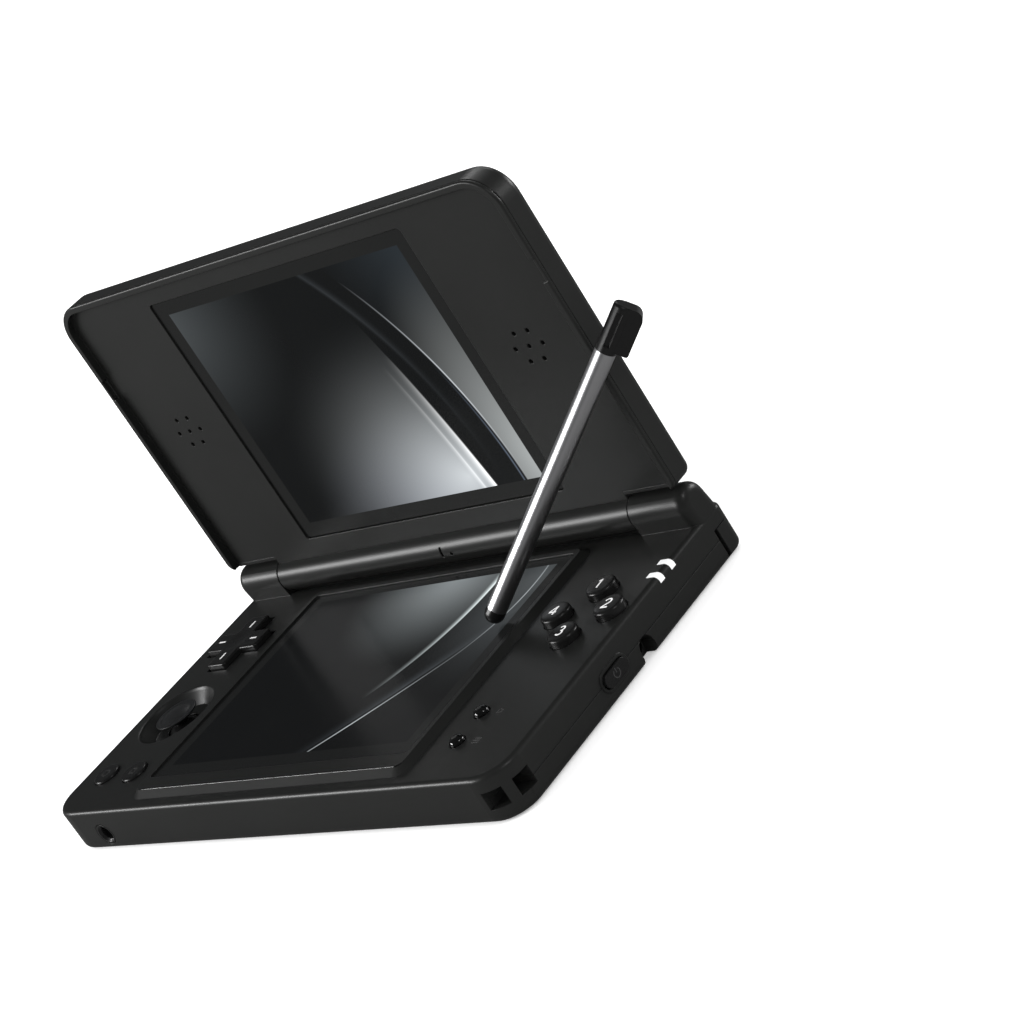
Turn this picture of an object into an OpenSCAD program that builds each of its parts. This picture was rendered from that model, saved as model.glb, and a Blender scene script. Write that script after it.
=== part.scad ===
// Clamshell handheld game console with two displays and a loose stylus.
// Origin: centre of the flat underside. +X is the player's right, +Y points
// towards the hinge, +Z is up. The lid stands open, square to the base.

/* [Base] */
// Width of base and lid
body_w = 161; // [159:0.5:175]
// Depth of the base, front to back
body_d = 94.4; // [94:0.2:100]
// Height of the deck above the underside
base_h = 12; // [11.9:0.1:13]
// Height of the parting line between the two case halves
split_z = 5.4; // [5.3:0.1:5.8]
// Radius of the front corners of base and lid in plan
corner_r = 8.5; // [7:0.5:9.5]
// Radius of the base's rear corners in plan
back_corner_r = 3; // [2.5:0.1:4]
// Rounding of the deck's outer edge
deck_edge_r = 1.3; // [0.6:0.1:1.4]
// Rounding of the underside's outer edge
sole_edge_r = 2; // [1:0.1:2.5]
// Rounding of each half at the parting line
seam_r = 0.25; // [0.15:0.05:0.4]
// Thickness of the side walls
wall = 1.4; // [1.2:0.1:1.6]
// Thickness of the bottom wall
floor_t = 1.4; // [1.2:0.1:1.5]
// Thickness of the deck
deck_t = 1.5; // [1.3:0.1:1.6]

/* [Hinge] */
// Height of the hinge axis above the deck
hinge_rise = 4.2; // [4.1:0.1:4.4]
// Distance from the hinge axis to the back of the base
hinge_back = 6.6; // [6.5:0.1:7]
// Radius of the two base knuckles
knuckle_r = 4.6; // [4.5:0.1:4.7]
// Width of each knuckle
knuckle_w = 17; // [15:0.5:18]
// Distance of a knuckle's outer end from the side of the base
knuckle_inset = 0.05; // [0.05:0.05:0.4]
// Rounding of a knuckle's outer end
knuckle_edge_r = 2.5; // [1.6:0.1:2.6]
// Lean of a knuckle's front flank, in degrees
knuckle_front_lean = 8; // [6:0.5:10]
// Lean of a knuckle's back flank, in degrees
knuckle_back_lean = 11; // [8:0.5:11]
// Radius of the lid barrel
barrel_r = 4.5; // [4.4:0.1:4.6]
// Gap between barrel end and knuckle
barrel_end_gap = 0.3; // [0.2:0.05:0.6]
// Gap between the barrel and its trough in the deck
trough_gap = 0.5; // [0.4:0.05:0.6]
// Radius of the hinge pins
pin_r = 1.9; // [1.5:0.1:2.2]
// Length of a hinge pin inside the barrel
pin_in_barrel = 9; // [6:0.5:12]
// Length of a hinge pin inside the knuckle
pin_in_knuckle = 12; // [8:0.5:14]
// Radial running clearance of the pins
pin_gap = 0.05; // [0.02:0.01:0.1]

/* [Lid] */
// Thickness of the lid, rim to outer face
lid_t = 8; // [7.6:0.1:8.2]
// Gap between deck and rim when shut
lid_gap = 0.7; // [0.6:0.05:0.9]
// How far the lid passes the front of the base when shut
lid_over = 0.3; // [0:0.1:0.8]
// Depth of the inner panel below the rim
rim_h = 2; // [1.9:0.1:2.2]
// Width of the rim
rim_w = 1.7; // [1.4:0.1:2]
// Distance from the hinge axis to the lid's lower edge
lid_root = 5.5; // [5.4:0.1:6.2]
// Radius of the lid's corners beside the hinge
root_corner_r = 2.4; // [2.3:0.1:3]
// Wall of the lid covers
lid_wall = 1.3; // [1.1:0.1:1.4]
// Thickness of the inner panel
panel_t = 1.9; // [1.8:0.1:2]
// Distance of the lid's seam behind the rim's face
lid_seam = 1; // [0.9:0.1:1.3]
// Thickness of the outer cover's wall beside the front frame
lid_lip = 0.9; // [0.8:0.05:1]
// Rounding of the lid's outer edge
lid_edge_r = 2.2; // [1:0.1:2.6]
// Rounding of the rim's edge
rim_edge_r = 0.5; // [0.3:0.1:0.7]
// Distance from the hinge axis to the side notches
notch_from_hinge = 63.8; // [60:0.5:70]
// Length of a side notch
notch_l = 5.8; // [4:0.2:7]
// Depth of a side notch
notch_t = 1.2; // [0.6:0.1:1.4]
// Thickness of the rim left outside a side notch
notch_skin = 0.8; // [0.6:0.1:1]
// Depth of the step over that skin
notch_step = 0.2; // [0.1:0.05:0.4]

/* [Displays] */
// Width of each picture area
display_w = 85.2; // [84:0.1:86]
// Height of each picture area
display_h = 63.9; // [63:0.1:64.5]
// Frame of a display module around its picture area
module_edge = 1.4; // [1:0.1:1.8]
// Thickness of the cover glasses
glass_t = 0.9; // [0.8:0.05:0.95]
// Depth of each glass below the surface around it
glass_drop = 0.5; // [0.4:0.05:0.5]
// Groove around each glass
glass_gap = 0.25; // [0.15:0.05:0.35]
// Hinge axis to the lower edge of the upper picture
upper_from_hinge = 13.9; // [13.5:0.1:14.5]
// Upper glass margin beside the picture
upper_side = 3.9; // [3.5:0.1:4.4]
// Upper glass margin above the picture
upper_top = 3.6; // [3.2:0.1:4]
// Upper glass margin below the picture
upper_bottom = 4; // [3.6:0.1:4.4]
// Hinge axis to the rear edge of the lower picture
lower_from_hinge = 11.6; // [11.3:0.1:12]
// Lower glass margin beside the picture
lower_side = 3.9; // [3.5:0.1:4.2]
// Lower glass margin in front of the picture
lower_front = 2.6; // [2.3:0.1:3]
// Lower glass margin behind the picture
lower_rear = 2.4; // [2:0.1:2.6]
// Height of the screen platform above the deck
platform_h = 1.5; // [1.3:0.05:1.6]
// Width of the platform's flat border at the sides
platform_side = 1.3; // [1:0.1:1.6]
// Width of the platform's flat border at the front
platform_front = 4.4; // [4:0.1:4.8]
// Width of the platform's flat border at the rear
platform_rear = 1.6; // [1.2:0.1:1.8]
// Width of the platform's sloping flank
flank_w = 1.9; // [1.4:0.1:2.2]
// Corner radius of the platform's top
platform_corner_r = 2; // [1:0.1:3]
// Thickness of the tray under the lower display
tray_t = 0.6; // [0.5:0.05:0.7]
// Tray overlap under the deck
tray_lap = 1.5; // [1:0.1:2]

/* [Direction pad] */
// Direction pad centre from the side of the base
pad_from_side = 15.5; // [15:0.1:17]
// Direction pad centre from the hinge axis
pad_from_hinge = 24; // [23.5:0.1:25]
// Span of the direction pad
pad_span = 20; // [18:0.2:20.4]
// Width of a direction pad arm
pad_arm = 7; // [6:0.1:7.6]
// Height of the direction pad above the deck
pad_rise = 1.5; // [1:0.1:1.6]
// Gap around the direction pad
pad_gap = 0.55; // [0.5:0.05:0.7]
// Radius of the direction pad's flange
pad_flange_r = 11; // [10.6:0.1:11.2]
// Gap over the direction pad's flange, for rocking
pad_flange_gap = 1; // [0.95:0.05:1.05]
// Depth of the dish in the direction pad
pad_dish = 0.3; // [0.1:0.05:0.4]
// Thickness of control flanges
flange_t = 0.8; // [0.6:0.05:0.9]
// Radius of the ball under the direction pad
pad_ball_r = 1.5; // [1.2:0.1:1.6]
// Clearance around the ball
ball_gap = 0.06; // [0.03:0.01:0.1]

/* [Thumb stick] */
// Stick centre from the side of the base
stick_from_side = 15.6; // [15.5:0.1:17.5]
// Stick centre from the hinge axis
stick_from_hinge = 51.4; // [50:0.1:52]
// Radius of the bowl at the deck
bowl_r = 11.35; // [10.8:0.05:11.6]
// Radius of the bowl's floor
bowl_floor_r = 8.1; // [7.9:0.1:8.4]
// Depth of the bowl
bowl_depth = 3.5; // [3.4:0.05:3.6]
// Wall of the bowl
bowl_wall = 1; // [0.8:0.1:1]
// Radius of the hole in the bowl's floor
bowl_hole_r = 4.4; // [4.2:0.1:5]
// Extra radius of that hole at its lower end
bowl_hole_flare = 0.8; // [0.6:0.1:1]
// Radius of the stick's cap
cap_r = 5.8; // [5.4:0.1:6]
// Height of the stick's cap above the deck
cap_rise = 0.8; // [0.6:0.1:1]
// Thickness of the cap's rim
cap_t = 1.5; // [1.2:0.1:1.6]
// Radius of the cap's domed face
cap_dome_r = 26; // [20:1:40]
// Radius of the stick's stem
stem_r = 1.9; // [1.5:0.1:2]
// Side of the stick module's housing
stick_box = 15; // [14:0.5:16]
// Wall of the stick module's housing
stick_wall = 1; // [0.8:0.1:1.2]
// Height of the stick's pivot above the underside
stick_pivot_z = 4.2; // [4.1:0.1:4.4]
// Radius of the dome around the stem, about the pivot
skirt_r = 5.85; // [5.7:0.05:5.9]
// Height of the dome's lower edge above the pivot
skirt_low = 3.2; // [3:0.1:3.3]
// Radius of the stick's hub at the pivot
stick_ball_r = 2.2; // [2:0.1:2.3]
// Inner radius of the gimbal ring
gimbal_r = 3.2; // [3:0.1:3.4]
// Section of the gimbal ring
gimbal_t = 1.3; // [1.1:0.1:1.4]
// Radius of the gimbal's trunnions
trunnion_r = 0.45; // [0.35:0.05:0.5]

/* [Face buttons] */
// Centre of the four face buttons from the side of the base
face_from_side = 14; // [13.9:0.1:14.8]
// Centre of the four face buttons from the hinge axis
face_from_hinge = 32.9; // [32.4:0.1:33.4]
// Offset of each face button from their common centre
face_offset = 8.2; // [7.8:0.1:8.2]
// Radius of a face button
face_r = 3.75; // [3.5:0.05:3.8]
// Height of a face button above the deck
face_rise = 2.3; // [1.4:0.1:2.3]
// Extra radius of a button's flange
flange_lip = 0.4; // [0.3:0.05:0.45]
// Gap around each button
button_gap = 0.15; // [0.12:0.01:0.25]
// Rounding of a button's top edge
button_edge_r = 0.6; // [0.3:0.1:0.8]
// Travel of the deck buttons
button_travel = 0.8; // [0.6:0.1:0.9]

/* [Small buttons] */
// Start and select buttons from the side of the base
option_from_side = 21.9; // [21.4:0.1:22.5]
// Start button from the hinge axis
start_from_hinge = 64.8; // [64:0.1:66]
// Select button from the hinge axis
select_from_hinge = 74.3; // [73.8:0.1:75]
// Radius of the start and select buttons
option_r = 1.9; // [1.6:0.1:2.2]
// Height of the start and select buttons above the deck
option_rise = 1.4; // [1.2:0.1:1.8]
// Rounding of the start and select buttons
option_edge_r = 1.3; // [0.8:0.1:1.5]
// Outer menu button from the side of the base
menu_from_side = 10.2; // [9.5:0.1:11]
// Spacing of the two menu buttons
menu_pitch = 11.6; // [11.5:0.1:13]
// Menu buttons from the front of the base
menu_from_front = 13.9; // [13.4:0.1:15]
// Radius of the menu buttons
menu_r = 3.6; // [3.2:0.1:3.8]
// Height of the menu buttons above the deck
menu_rise = 0.7; // [0.4:0.05:1]

/* [Side controls] */
// Power button from the hinge axis
power_from_hinge = 46.6; // [45:0.2:48]
// Height of the side controls above the underside
side_z = 5.5; // [5.4:0.1:5.7]
// Length of the power button
power_l = 8.5; // [7:0.1:9]
// Height of the power button
power_h = 3.4; // [3:0.1:3.8]
// Width of the raised ring around side controls
ring_w = 0.7; // [0.5:0.1:0.9]
// Height of the raised ring
ring_h = 0.3; // [0.2:0.05:0.4]
// How far the side controls stand out
side_rise = 0.9; // [0.5:0.05:1]
// Depth of the side controls inside the case
side_depth = 2; // [1.9:0.1:2.4]
// Travel of the power button
power_travel = 0.35; // [0.2:0.05:0.4]
// Volume rocker from the hinge axis
volume_from_hinge = 41; // [40:0.2:42]
// Length of the volume rocker
volume_l = 16.9; // [15:0.1:18]
// Gap around the side controls
side_gap = 0.2; // [0.15:0.01:0.3]
// Inner end of a shoulder button from the side of the base
shoulder_w = 14.6; // [12:0.2:15]
// Front to back size of a shoulder button
shoulder_d = 6; // [5.6:0.1:6.4]
// Underside of a shoulder button above the underside of the base
shoulder_low = 0.9; // [0.7:0.1:1.2]
// Top of a shoulder button above the underside of the base
shoulder_top = 7.8; // [7.4:0.1:8.2]
// Gap above, below and beside a shoulder button
shoulder_gap = 0.2; // [0.15:0.01:0.3]
// Travel of a shoulder button
shoulder_travel = 0.9; // [0.6:0.1:1]
// Gap in front of a pressed shoulder button
shoulder_stop = 0.2; // [0.1:0.05:0.4]

/* [Status lenses] */
// First lens from the hinge axis
lens_from_hinge = 16.3; // [15.5:0.1:17]
// Spacing of the two lenses
lens_pitch = 4.7; // [4.2:0.1:5.2]
// Width of a lens
lens_w = 1.8; // [1.4:0.1:2.2]
// Reach of a lens across the deck from the side
lens_reach = 3.4; // [3.2:0.1:4.2]
// Reach of a lens down the side
lens_drop = 1.8; // [1.6:0.1:2.2]
// Thickness of a lens
lens_t = 1.1; // [0.9:0.1:1.2]

/* [Ports] */
// Headphone socket centre from the left side
jack_from_side = 17.6; // [17:0.1:18.5]
// Height of the headphone socket's centre
jack_z = 4.9; // [4.8:0.1:5]
// Bore radius of the headphone socket
jack_bore_r = 1.8; // [1.8:0.05:1.85]
// Outer radius of the headphone socket's ring
jack_ring_r = 2.9; // [2.7:0.1:3]
// Depth and flare of the headphone socket's mouth
jack_mouth = 0.6; // [0.4:0.05:0.8]
// Length of the headphone socket
jack_l = 11.4; // [10:0.2:11.6]
// Charge port centre from the centre line
port_from_centre = 0; // [-20:1:20]
// Width of the charge port's shell
port_w = 9; // [8.4:0.1:9.4]
// Height of the charge port's shell
port_h = 3.2; // [3:0.1:3.4]
// Wall of the charge port's shell
port_wall = 0.35; // [0.3:0.05:0.5]
// Length of the charge port
port_l = 7; // [6:0.2:8]
// Gap around the ports in the case
port_gap = 0.15; // [0.1:0.05:0.3]
// Strap tunnel width and height
strap_w = 4.4; // [4.4:0.1:4.6]
// Strap tunnel height above the underside
strap_z = 6; // [5.9:0.1:6.3]
// Strap tunnel centre from the front of the base
strap_from_front = 6.6; // [6.4:0.1:7.6]
// Strap tunnel centre from the side of the base
strap_from_side = 4.9; // [4.8:0.1:5.4]

/* [Stylus] */
// Length of the stylus
stylus_l = 81.5; // [80:0.1:82]
// Radius of the stylus
stylus_r = 2.4; // [2.3:0.05:2.45]
// Length of the soft tip
tip_l = 3.6; // [3:0.1:5]
// Length of the cap
stylus_cap_l = 11.4; // [10.5:0.1:12.5]
// Thickness of the cap's tab
tab_t = 4; // [3:0.1:4.4]
// How far the tab stands off the stylus axis
tab_reach = 4.7; // [4:0.1:5]
// Gap between the tab and the shaft's end
tab_lift = 0.8; // [0.5:0.1:1.2]
// Rounding of the tab's top corner
tab_corner_r = 2.2; // [1:0.1:2.4]
// Width of the pocket along the cap
tongue_w = 1.2; // [0.8:0.1:1.4]
// Length of the pocket along the cap
tongue_l = 8.2; // [7:0.1:8.6]
// Depth of the pocket along the cap
tongue_depth = 0.6; // [0.4:0.1:0.8]
// Radial clearance of the stylus in its slot
slot_gap = 0.1; // [0.06:0.01:0.15]
// Slot centre from the hinge axis
slot_from_hinge = 34.8; // [34:0.1:36]
// Slot centre above the underside
slot_z = 3.1; // [3:0.05:3.2]
// Depth of the slot
slot_l = 81; // [80:0.5:84]
// Wall around the slot
slot_wall = 1; // [0.8:0.1:1.1]
// Depth of the finger scoop at the slot's mouth
scoop_l = 4; // [3:0.2:5]
// Tip of the resting stylus from the centre line
rest_x = 38.25; // [38:0.05:38.5]
// Tip of the resting stylus from the hinge axis
rest_from_hinge = 34.75; // [34.5:0.05:35]
// Gap between the resting tip and the lower glass
rest_gap = 0.62; // [0.6:0.01:0.7]
// Heading of the resting stylus, from +X towards the hinge
rest_heading = 33.7; // [33.5:0.1:33.9]
// Slope of the resting stylus above the deck
rest_slope = 38.8; // [38.5:0.1:39.2]

/* [Inside] */
// Thickness of the main board
board_t = 0.8; // [0.6:0.1:0.9]
// Height of the board's top above the underside
board_top = 7.2; // [7.1:0.05:7.3]
// Gap between board and walls
board_gap = 0.6; // [0.4:0.1:1]
// Width of the battery
battery_w = 88; // [60:1:92]
// Depth of the battery
battery_d = 34; // [28:1:35]
// Thickness of the battery
battery_t = 4.6; // [3.5:0.1:4.7]
// Gap under and over loose inner pieces
seat_gap = 0.15; // [0.1:0.05:0.3]
// Thickness of the rubber key mats
mat_t = 0.4; // [0.3:0.05:0.5]
// Radius of a speaker
speaker_r = 8; // [7:0.2:9]
// Thickness of a speaker
speaker_t = 2.4; // [2:0.1:2.6]
// Speaker centres from the side of the lid
speaker_from_side = 18.1; // [17.5:0.1:19]
// Speaker centres from the hinge axis
speaker_from_hinge = 46.6; // [44:0.2:50]
// Radius of the microphone capsule
mic_r = 1; // [0.8:0.1:1.2]
// Microphone capsule from the centre line
mic_x = 3; // [2.4:0.1:4]
// Radius of the hole over the capsule
mic_hole_r = 0.45; // [0.3:0.05:0.6]
// Length around the barrel of the slot beside the microphone
mic_slot_l = 2.5; // [2:0.1:3]
// Width of that slot
mic_slot_w = 0.7; // [0.5:0.1:0.9]
// Depth of that slot
mic_slot_depth = 0.7; // [0.4:0.1:0.9]
// Width of the display ribbon
ribbon_w = 9; // [6:0.5:12]
// Thickness of the display ribbon
ribbon_t = 0.3; // [0.2:0.05:0.4]
// Reach of the ribbon up the lid from the hinge axis
ribbon_l = 26; // [20:1:40]
// Radius of the ring of sound holes
sound_ring_r = 4.3; // [3.6:0.1:5]
// Radius of a sound hole
sound_hole_r = 0.58; // [0.4:0.02:0.8]
// Screws from the side of the base
screw_from_side = 9.5; // [9.5:0.1:11]
// Screws from the front of the base
screw_from_front = 8.3; // [8.2:0.1:9]
// Locating pits from the centre line
pit_from_centre = 57.3; // [50:0.1:60]
// Radius of a locating pit
pit_r = 0.6; // [0.4:0.1:0.8]
// Depth of a locating pit
pit_depth = 0.8; // [0.5:0.1:1]
// Radius of a screw well
well_r = 2.2; // [2:0.1:2.4]
// Depth of a screw well
well_depth = 2; // [1.6:0.1:2.2]
// Radius of a screw head
head_r = 1.9; // [1.6:0.1:2]
// Height of a screw head
head_h = 1.2; // [0.8:0.1:1.4]
// Radius of a screw shank
shank_r = 1; // [0.8:0.1:1.1]
// Wall of a screw post
post_wall = 1; // [0.8:0.1:1.2]

/* [Hidden] */
$fn = 64;
bite = 1;
side_x = body_w / 2;
front_y = -body_d / 2;
back_y = body_d / 2;
hinge_y = back_y - hinge_back;
hinge_z = base_h + hinge_rise;
knuckle_in = side_x - knuckle_w - knuckle_inset;
barrel_half = knuckle_in - barrel_end_gap;
lid_l = hinge_y - front_y + lid_over;
rim_w_z = hinge_rise - lid_gap;
panel_w_z = rim_w_z - rim_h;
outer_w_z = rim_w_z - lid_t;
seam_w_z = rim_w_z - lid_seam;
platform_z = base_h + platform_h;
ceiling_z = base_h - deck_t;
board_bottom = board_top - board_t;
lower_glass_z = platform_z - glass_drop - glass_t;
upper_glass_z = panel_w_z - glass_drop - glass_t;
panel_low_z = panel_w_z - panel_t;
module_t = lower_glass_z - ceiling_z;
glass_w = display_w + 2 * lower_side;
glass_front = hinge_y - lower_from_hinge - display_h - lower_front;
glass_rear = hinge_y - lower_from_hinge + lower_rear;
display_y = hinge_y - lower_from_hinge - display_h / 2;
pad_x = -(side_x - pad_from_side);
pad_y = hinge_y - pad_from_hinge;
stick_x = -(side_x - stick_from_side);
stick_y = hinge_y - stick_from_hinge;
face_x = side_x - face_from_side;
face_y = hinge_y - face_from_hinge;
option_x = side_x - option_from_side;
start_y = hinge_y - start_from_hinge;
select_y = hinge_y - select_from_hinge;
menu_y = front_y + menu_from_front;
menu_outer_x = -(side_x - menu_from_side);
menu_inner_x = menu_outer_x + menu_pitch;
flange_top = ceiling_z - seat_gap;
flange_low = flange_top - flange_t;
mat_top = flange_low - button_travel - seat_gap;
pad_flange_top = ceiling_z - pad_flange_gap;
pad_flange_low = pad_flange_top - flange_t;
pad_pivot_z = board_top + seat_gap + pad_ball_r;
power_y = hinge_y - power_from_hinge;
volume_y = hinge_y - volume_from_hinge;
slot_y = hinge_y - slot_from_hinge;
slot_r = stylus_r + slot_gap;
slot_end = side_x - slot_l;
jack_x = -(side_x - jack_from_side);
jack_half = jack_ring_r - seat_gap;
port_z = board_bottom - port_h / 2 - seat_gap;
strap_y = front_y + strap_from_front;
strap_x = side_x - strap_from_side;
strap_in = strap_x - strap_w / 2;
screw_x = side_x - screw_from_side;
screw_y = front_y + screw_from_front;
post_r = well_r + post_wall;
battery_x = -4;
battery_y = slot_y - slot_r - slot_wall - seat_gap - bite - battery_d / 2;
bowl_z = base_h - bowl_depth;
cap_top = base_h + cap_rise;
cap_low = cap_top - cap_t;
speaker_x = side_x - speaker_from_side;
shoulder_x = side_x - shoulder_w;
side_room_x = side_x - wall - side_depth - power_travel - board_gap / 2;
shoulder_y = back_y - shoulder_d;

// Half of an upright section, from the centre line out to reach, with its
// upper and lower outer corners rounded.
module half_section(reach, height, top_r, low_r) {
    intersection() {
        square([reach, height]);
        union() {
            square([reach - max(top_r, low_r), height]);
            translate([0, low_r]) square([reach, height - top_r - low_r]);
            if (top_r > 0) translate([reach - top_r, height - top_r]) circle(top_r);
            if (low_r > 0) translate([reach - low_r, low_r]) circle(low_r);
            if (top_r > 0) translate([0, height - top_r]) square([reach - top_r, top_r]);
            if (low_r > 0) square([reach - low_r, low_r]);
        }
    }
}

// Both halves of that section.
module full_section(reach, height, top_r, low_r) {
    half_section(reach, height, top_r, low_r);
    mirror([1, 0]) half_section(reach, height, top_r, low_r);
}

// Plate centred in plan, standing on z = 0, with round edges, and corners of
// one radius towards -Y and another towards +Y.
module soft_plate(width, depth, height, front_r, rear_r, top_r, low_r) {
    for (sx = [-1, 1]) {
        translate([sx * (width / 2 - front_r), front_r - depth / 2, 0])
            rotate_extrude() half_section(front_r, height, top_r, low_r);
        translate([sx * (width / 2 - rear_r), depth / 2 - rear_r, 0])
            rotate_extrude() half_section(rear_r, height, top_r, low_r);
    }
    translate([front_r - width / 2, front_r - depth / 2, 0]) rotate([90, 0, 90])
        linear_extrude(width - 2 * front_r) mirror([1, 0]) half_section(front_r, height, top_r, low_r);
    translate([rear_r - width / 2, depth / 2 - rear_r, 0]) rotate([90, 0, 90])
        linear_extrude(width - 2 * rear_r) half_section(rear_r, height, top_r, low_r);
    translate([0, depth / 2 - rear_r, 0]) rotate([90, 0, 0])
        linear_extrude(depth - front_r - rear_r) full_section(width / 2, height, top_r, low_r);
}

// Plain plate with round corners, standing on z = 0.
module plate(width, depth, height, front_r, rear_r) {
    linear_extrude(height) {
        translate([-width / 2, front_r - depth / 2]) square([width, depth - front_r - rear_r]);
        translate([front_r - width / 2, -depth / 2]) square([width - 2 * front_r, front_r]);
        translate([rear_r - width / 2, depth / 2 - rear_r]) square([width - 2 * rear_r, rear_r]);
        for (s = [-1, 1]) {
            translate([s * (width / 2 - front_r), front_r - depth / 2]) circle(front_r);
            translate([s * (width / 2 - rear_r), depth / 2 - rear_r]) circle(rear_r);
        }
    }
}

// Plain plate with four equal corners.
module even_plate(width, depth, height, radius) {
    plate(width, depth, height, radius, radius);
}

// Long round-ended section in the YZ plane, extruded along +X.
module side_pill(length, height, depth) {
    rotate([90, 0, 90]) linear_extrude(depth) {
        square([length - height, height], center = true);
        for (s = [-1, 1]) translate([s * (length - height) / 2, 0]) circle(height / 2);
    }
}

// Moves lid shapes from the lid's own frame, X across, Y up the lid from the
// hinge axis and Z out of its inner face, to the open lid.
module on_lid() {
    translate([0, hinge_y, hinge_z]) rotate([90, 0, 0]) children();
}

// Moves stylus shapes, drawn along +Z from the tip, to the resting stylus.
module on_stylus() {
    translate([rest_x, hinge_y - rest_from_hinge, platform_z - glass_drop + rest_gap])
        rotate([0, 0, rest_heading]) rotate([0, 90 - rest_slope, 0])
            translate([0, 0, stylus_r / sin(rest_slope) - stylus_r]) children();
}

// The two screw places.
module at_screws() {
    for (s = [-1, 1]) translate([s * screw_x, screw_y, 0]) children();
}

// Cross of the direction pad in plan.
module pad_cross(span, arm) {
    square([span, arm], center = true);
    square([arm, span], center = true);
}

// Deck button: cap with a round top edge on a flange that holds it in.
module deck_button(x, y, radius, rise, edge_r) {
    translate([x, y, flange_low]) {
        cylinder(r = radius + flange_lip, h = flange_t);
        rotate_extrude() half_section(radius, base_h + rise - flange_low, edge_r, 0);
    }
}

// Rooms under the deck for the flanges of the menu buttons.
module menu_rooms() {
    for (x = [menu_outer_x, menu_inner_x])
        translate([x, menu_y, mat_top]) {
            cylinder(r = menu_r + 2 * flange_lip, h = ceiling_z - mat_top);
            cylinder(r = menu_r + button_gap, h = base_h);
        }
}

// Openings of the deck for its controls.
module control_openings() {
    translate([pad_x, pad_y, split_z])
        linear_extrude(base_h) pad_cross(pad_span + 2 * pad_gap, pad_arm + 2 * pad_gap);
    for (a = [0:90:270])
        translate([face_x + face_offset * cos(a), face_y + face_offset * sin(a), split_z])
            cylinder(r = face_r + button_gap, h = base_h);
    for (y = [start_y, select_y])
        translate([option_x, y, split_z]) cylinder(r = option_r + button_gap, h = base_h);
    for (x = [menu_outer_x, menu_inner_x])
        translate([x, menu_y, split_z]) cylinder(r = menu_r + button_gap, h = base_h);
    translate([stick_x, stick_y, split_z]) cylinder(r = bowl_r, h = base_h);
}

// Bowl around the thumb stick, a turned shell hanging from the deck.
module stick_bowl() {
    translate([stick_x, stick_y, 0]) rotate_extrude()
        polygon([[bowl_hole_r + bowl_hole_flare, bowl_z - bowl_wall],
            [bowl_floor_r + bowl_wall, bowl_z - bowl_wall],
            [bowl_r + bowl_wall, ceiling_z], [bowl_r + bowl_wall, base_h], [bowl_r, base_h],
            [bowl_r - 0.4 * bowl_wall, base_h - 0.15 * bowl_wall],
            [bowl_r - 0.8 * bowl_wall, base_h - 0.7 * bowl_wall],
            [bowl_floor_r, bowl_z], [bowl_hole_r, bowl_z]]);
}

// Raised platform of the lower screen: two prisms with sloping flanks that
// cross, and a cone at each corner.
module platform(low) {
    half_w = glass_w / 2 + glass_gap + platform_side;
    front = glass_front - glass_gap - platform_front;
    rear = glass_rear + glass_gap + platform_rear;
    drop = platform_z - low;
    reach = flank_w * drop / platform_h;
    translate([0, rear - platform_corner_r, 0]) rotate([90, 0, 0])
        linear_extrude(rear - front - 2 * platform_corner_r)
            polygon([[-half_w - reach, low], [half_w + reach, low], [half_w, platform_z],
                [-half_w, platform_z]]);
    translate([platform_corner_r - half_w, 0, 0]) rotate([90, 0, 90])
        linear_extrude(2 * (half_w - platform_corner_r))
            polygon([[front - reach, low], [rear + reach, low], [rear, platform_z],
                [front, platform_z]]);
    for (s = [-1, 1], y = [front + platform_corner_r, rear - platform_corner_r])
        translate([s * (half_w - platform_corner_r), y, low])
            cylinder(r1 = platform_corner_r + reach, r2 = platform_corner_r, h = drop);
}

// One side of a knuckle, drawn towards +Y: half its section, turned over the
// top of the hinge axis and carried straight down, and then leaned.
module knuckle_side(lean, drop) {
    rotate([lean, 0, 0]) {
        rotate([0, 90, 0]) rotate([0, 0, 90]) rotate_extrude(angle = 120)
            half_section(knuckle_r, knuckle_w, knuckle_edge_r, 0);
        rotate([180, 0, 90]) linear_extrude(drop)
            half_section(knuckle_r, knuckle_w, knuckle_edge_r, 0);
    }
}

// Knuckle on the base: front and back sides, the filling between them, and a
// level foot over the shoulder button.
module knuckle() {
    foot = shoulder_top + shoulder_gap;
    drop = hinge_z - foot + knuckle_r;
    difference() {
        translate([knuckle_in, hinge_y, hinge_z]) {
            knuckle_side(knuckle_back_lean, drop);
            mirror([0, 1, 0]) knuckle_side(-knuckle_front_lean, drop);
            rotate([90, 0, 90]) linear_extrude(knuckle_w)
                polygon([[-bite, bite], [drop * tan(knuckle_front_lean) - bite, -drop],
                    [drop * tan(knuckle_back_lean) + bite, -drop], [bite, bite]]);
        }
        translate([0, shoulder_y - body_d / 2, foot - 2 * knuckle_r])
            cube([body_w, body_d, 2 * knuckle_r]);
    }
}

// Corner space of a shoulder button, grown by gap, with room to travel.
module shoulder_space(gap, front_room) {
    translate([shoulder_x - gap, shoulder_y - front_room, shoulder_low - gap])
        cube([shoulder_w + gap + bite, shoulder_d + front_room + bite,
            shoulder_top - shoulder_low + 2 * gap]);
}

// Walls around a shoulder button's space, between two heights.
module shoulder_pocket(low, high) {
    room = shoulder_travel + shoulder_stop;
    intersection() {
        translate([shoulder_x - shoulder_gap - wall, shoulder_y - room - wall, low])
            cube([side_x, shoulder_d + room + wall, high - low]);
        translate([0, 0, low])
            plate(body_w - wall, body_d - wall, high - low, corner_r - wall / 2, back_corner_r - wall / 2);
    }
}

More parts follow.
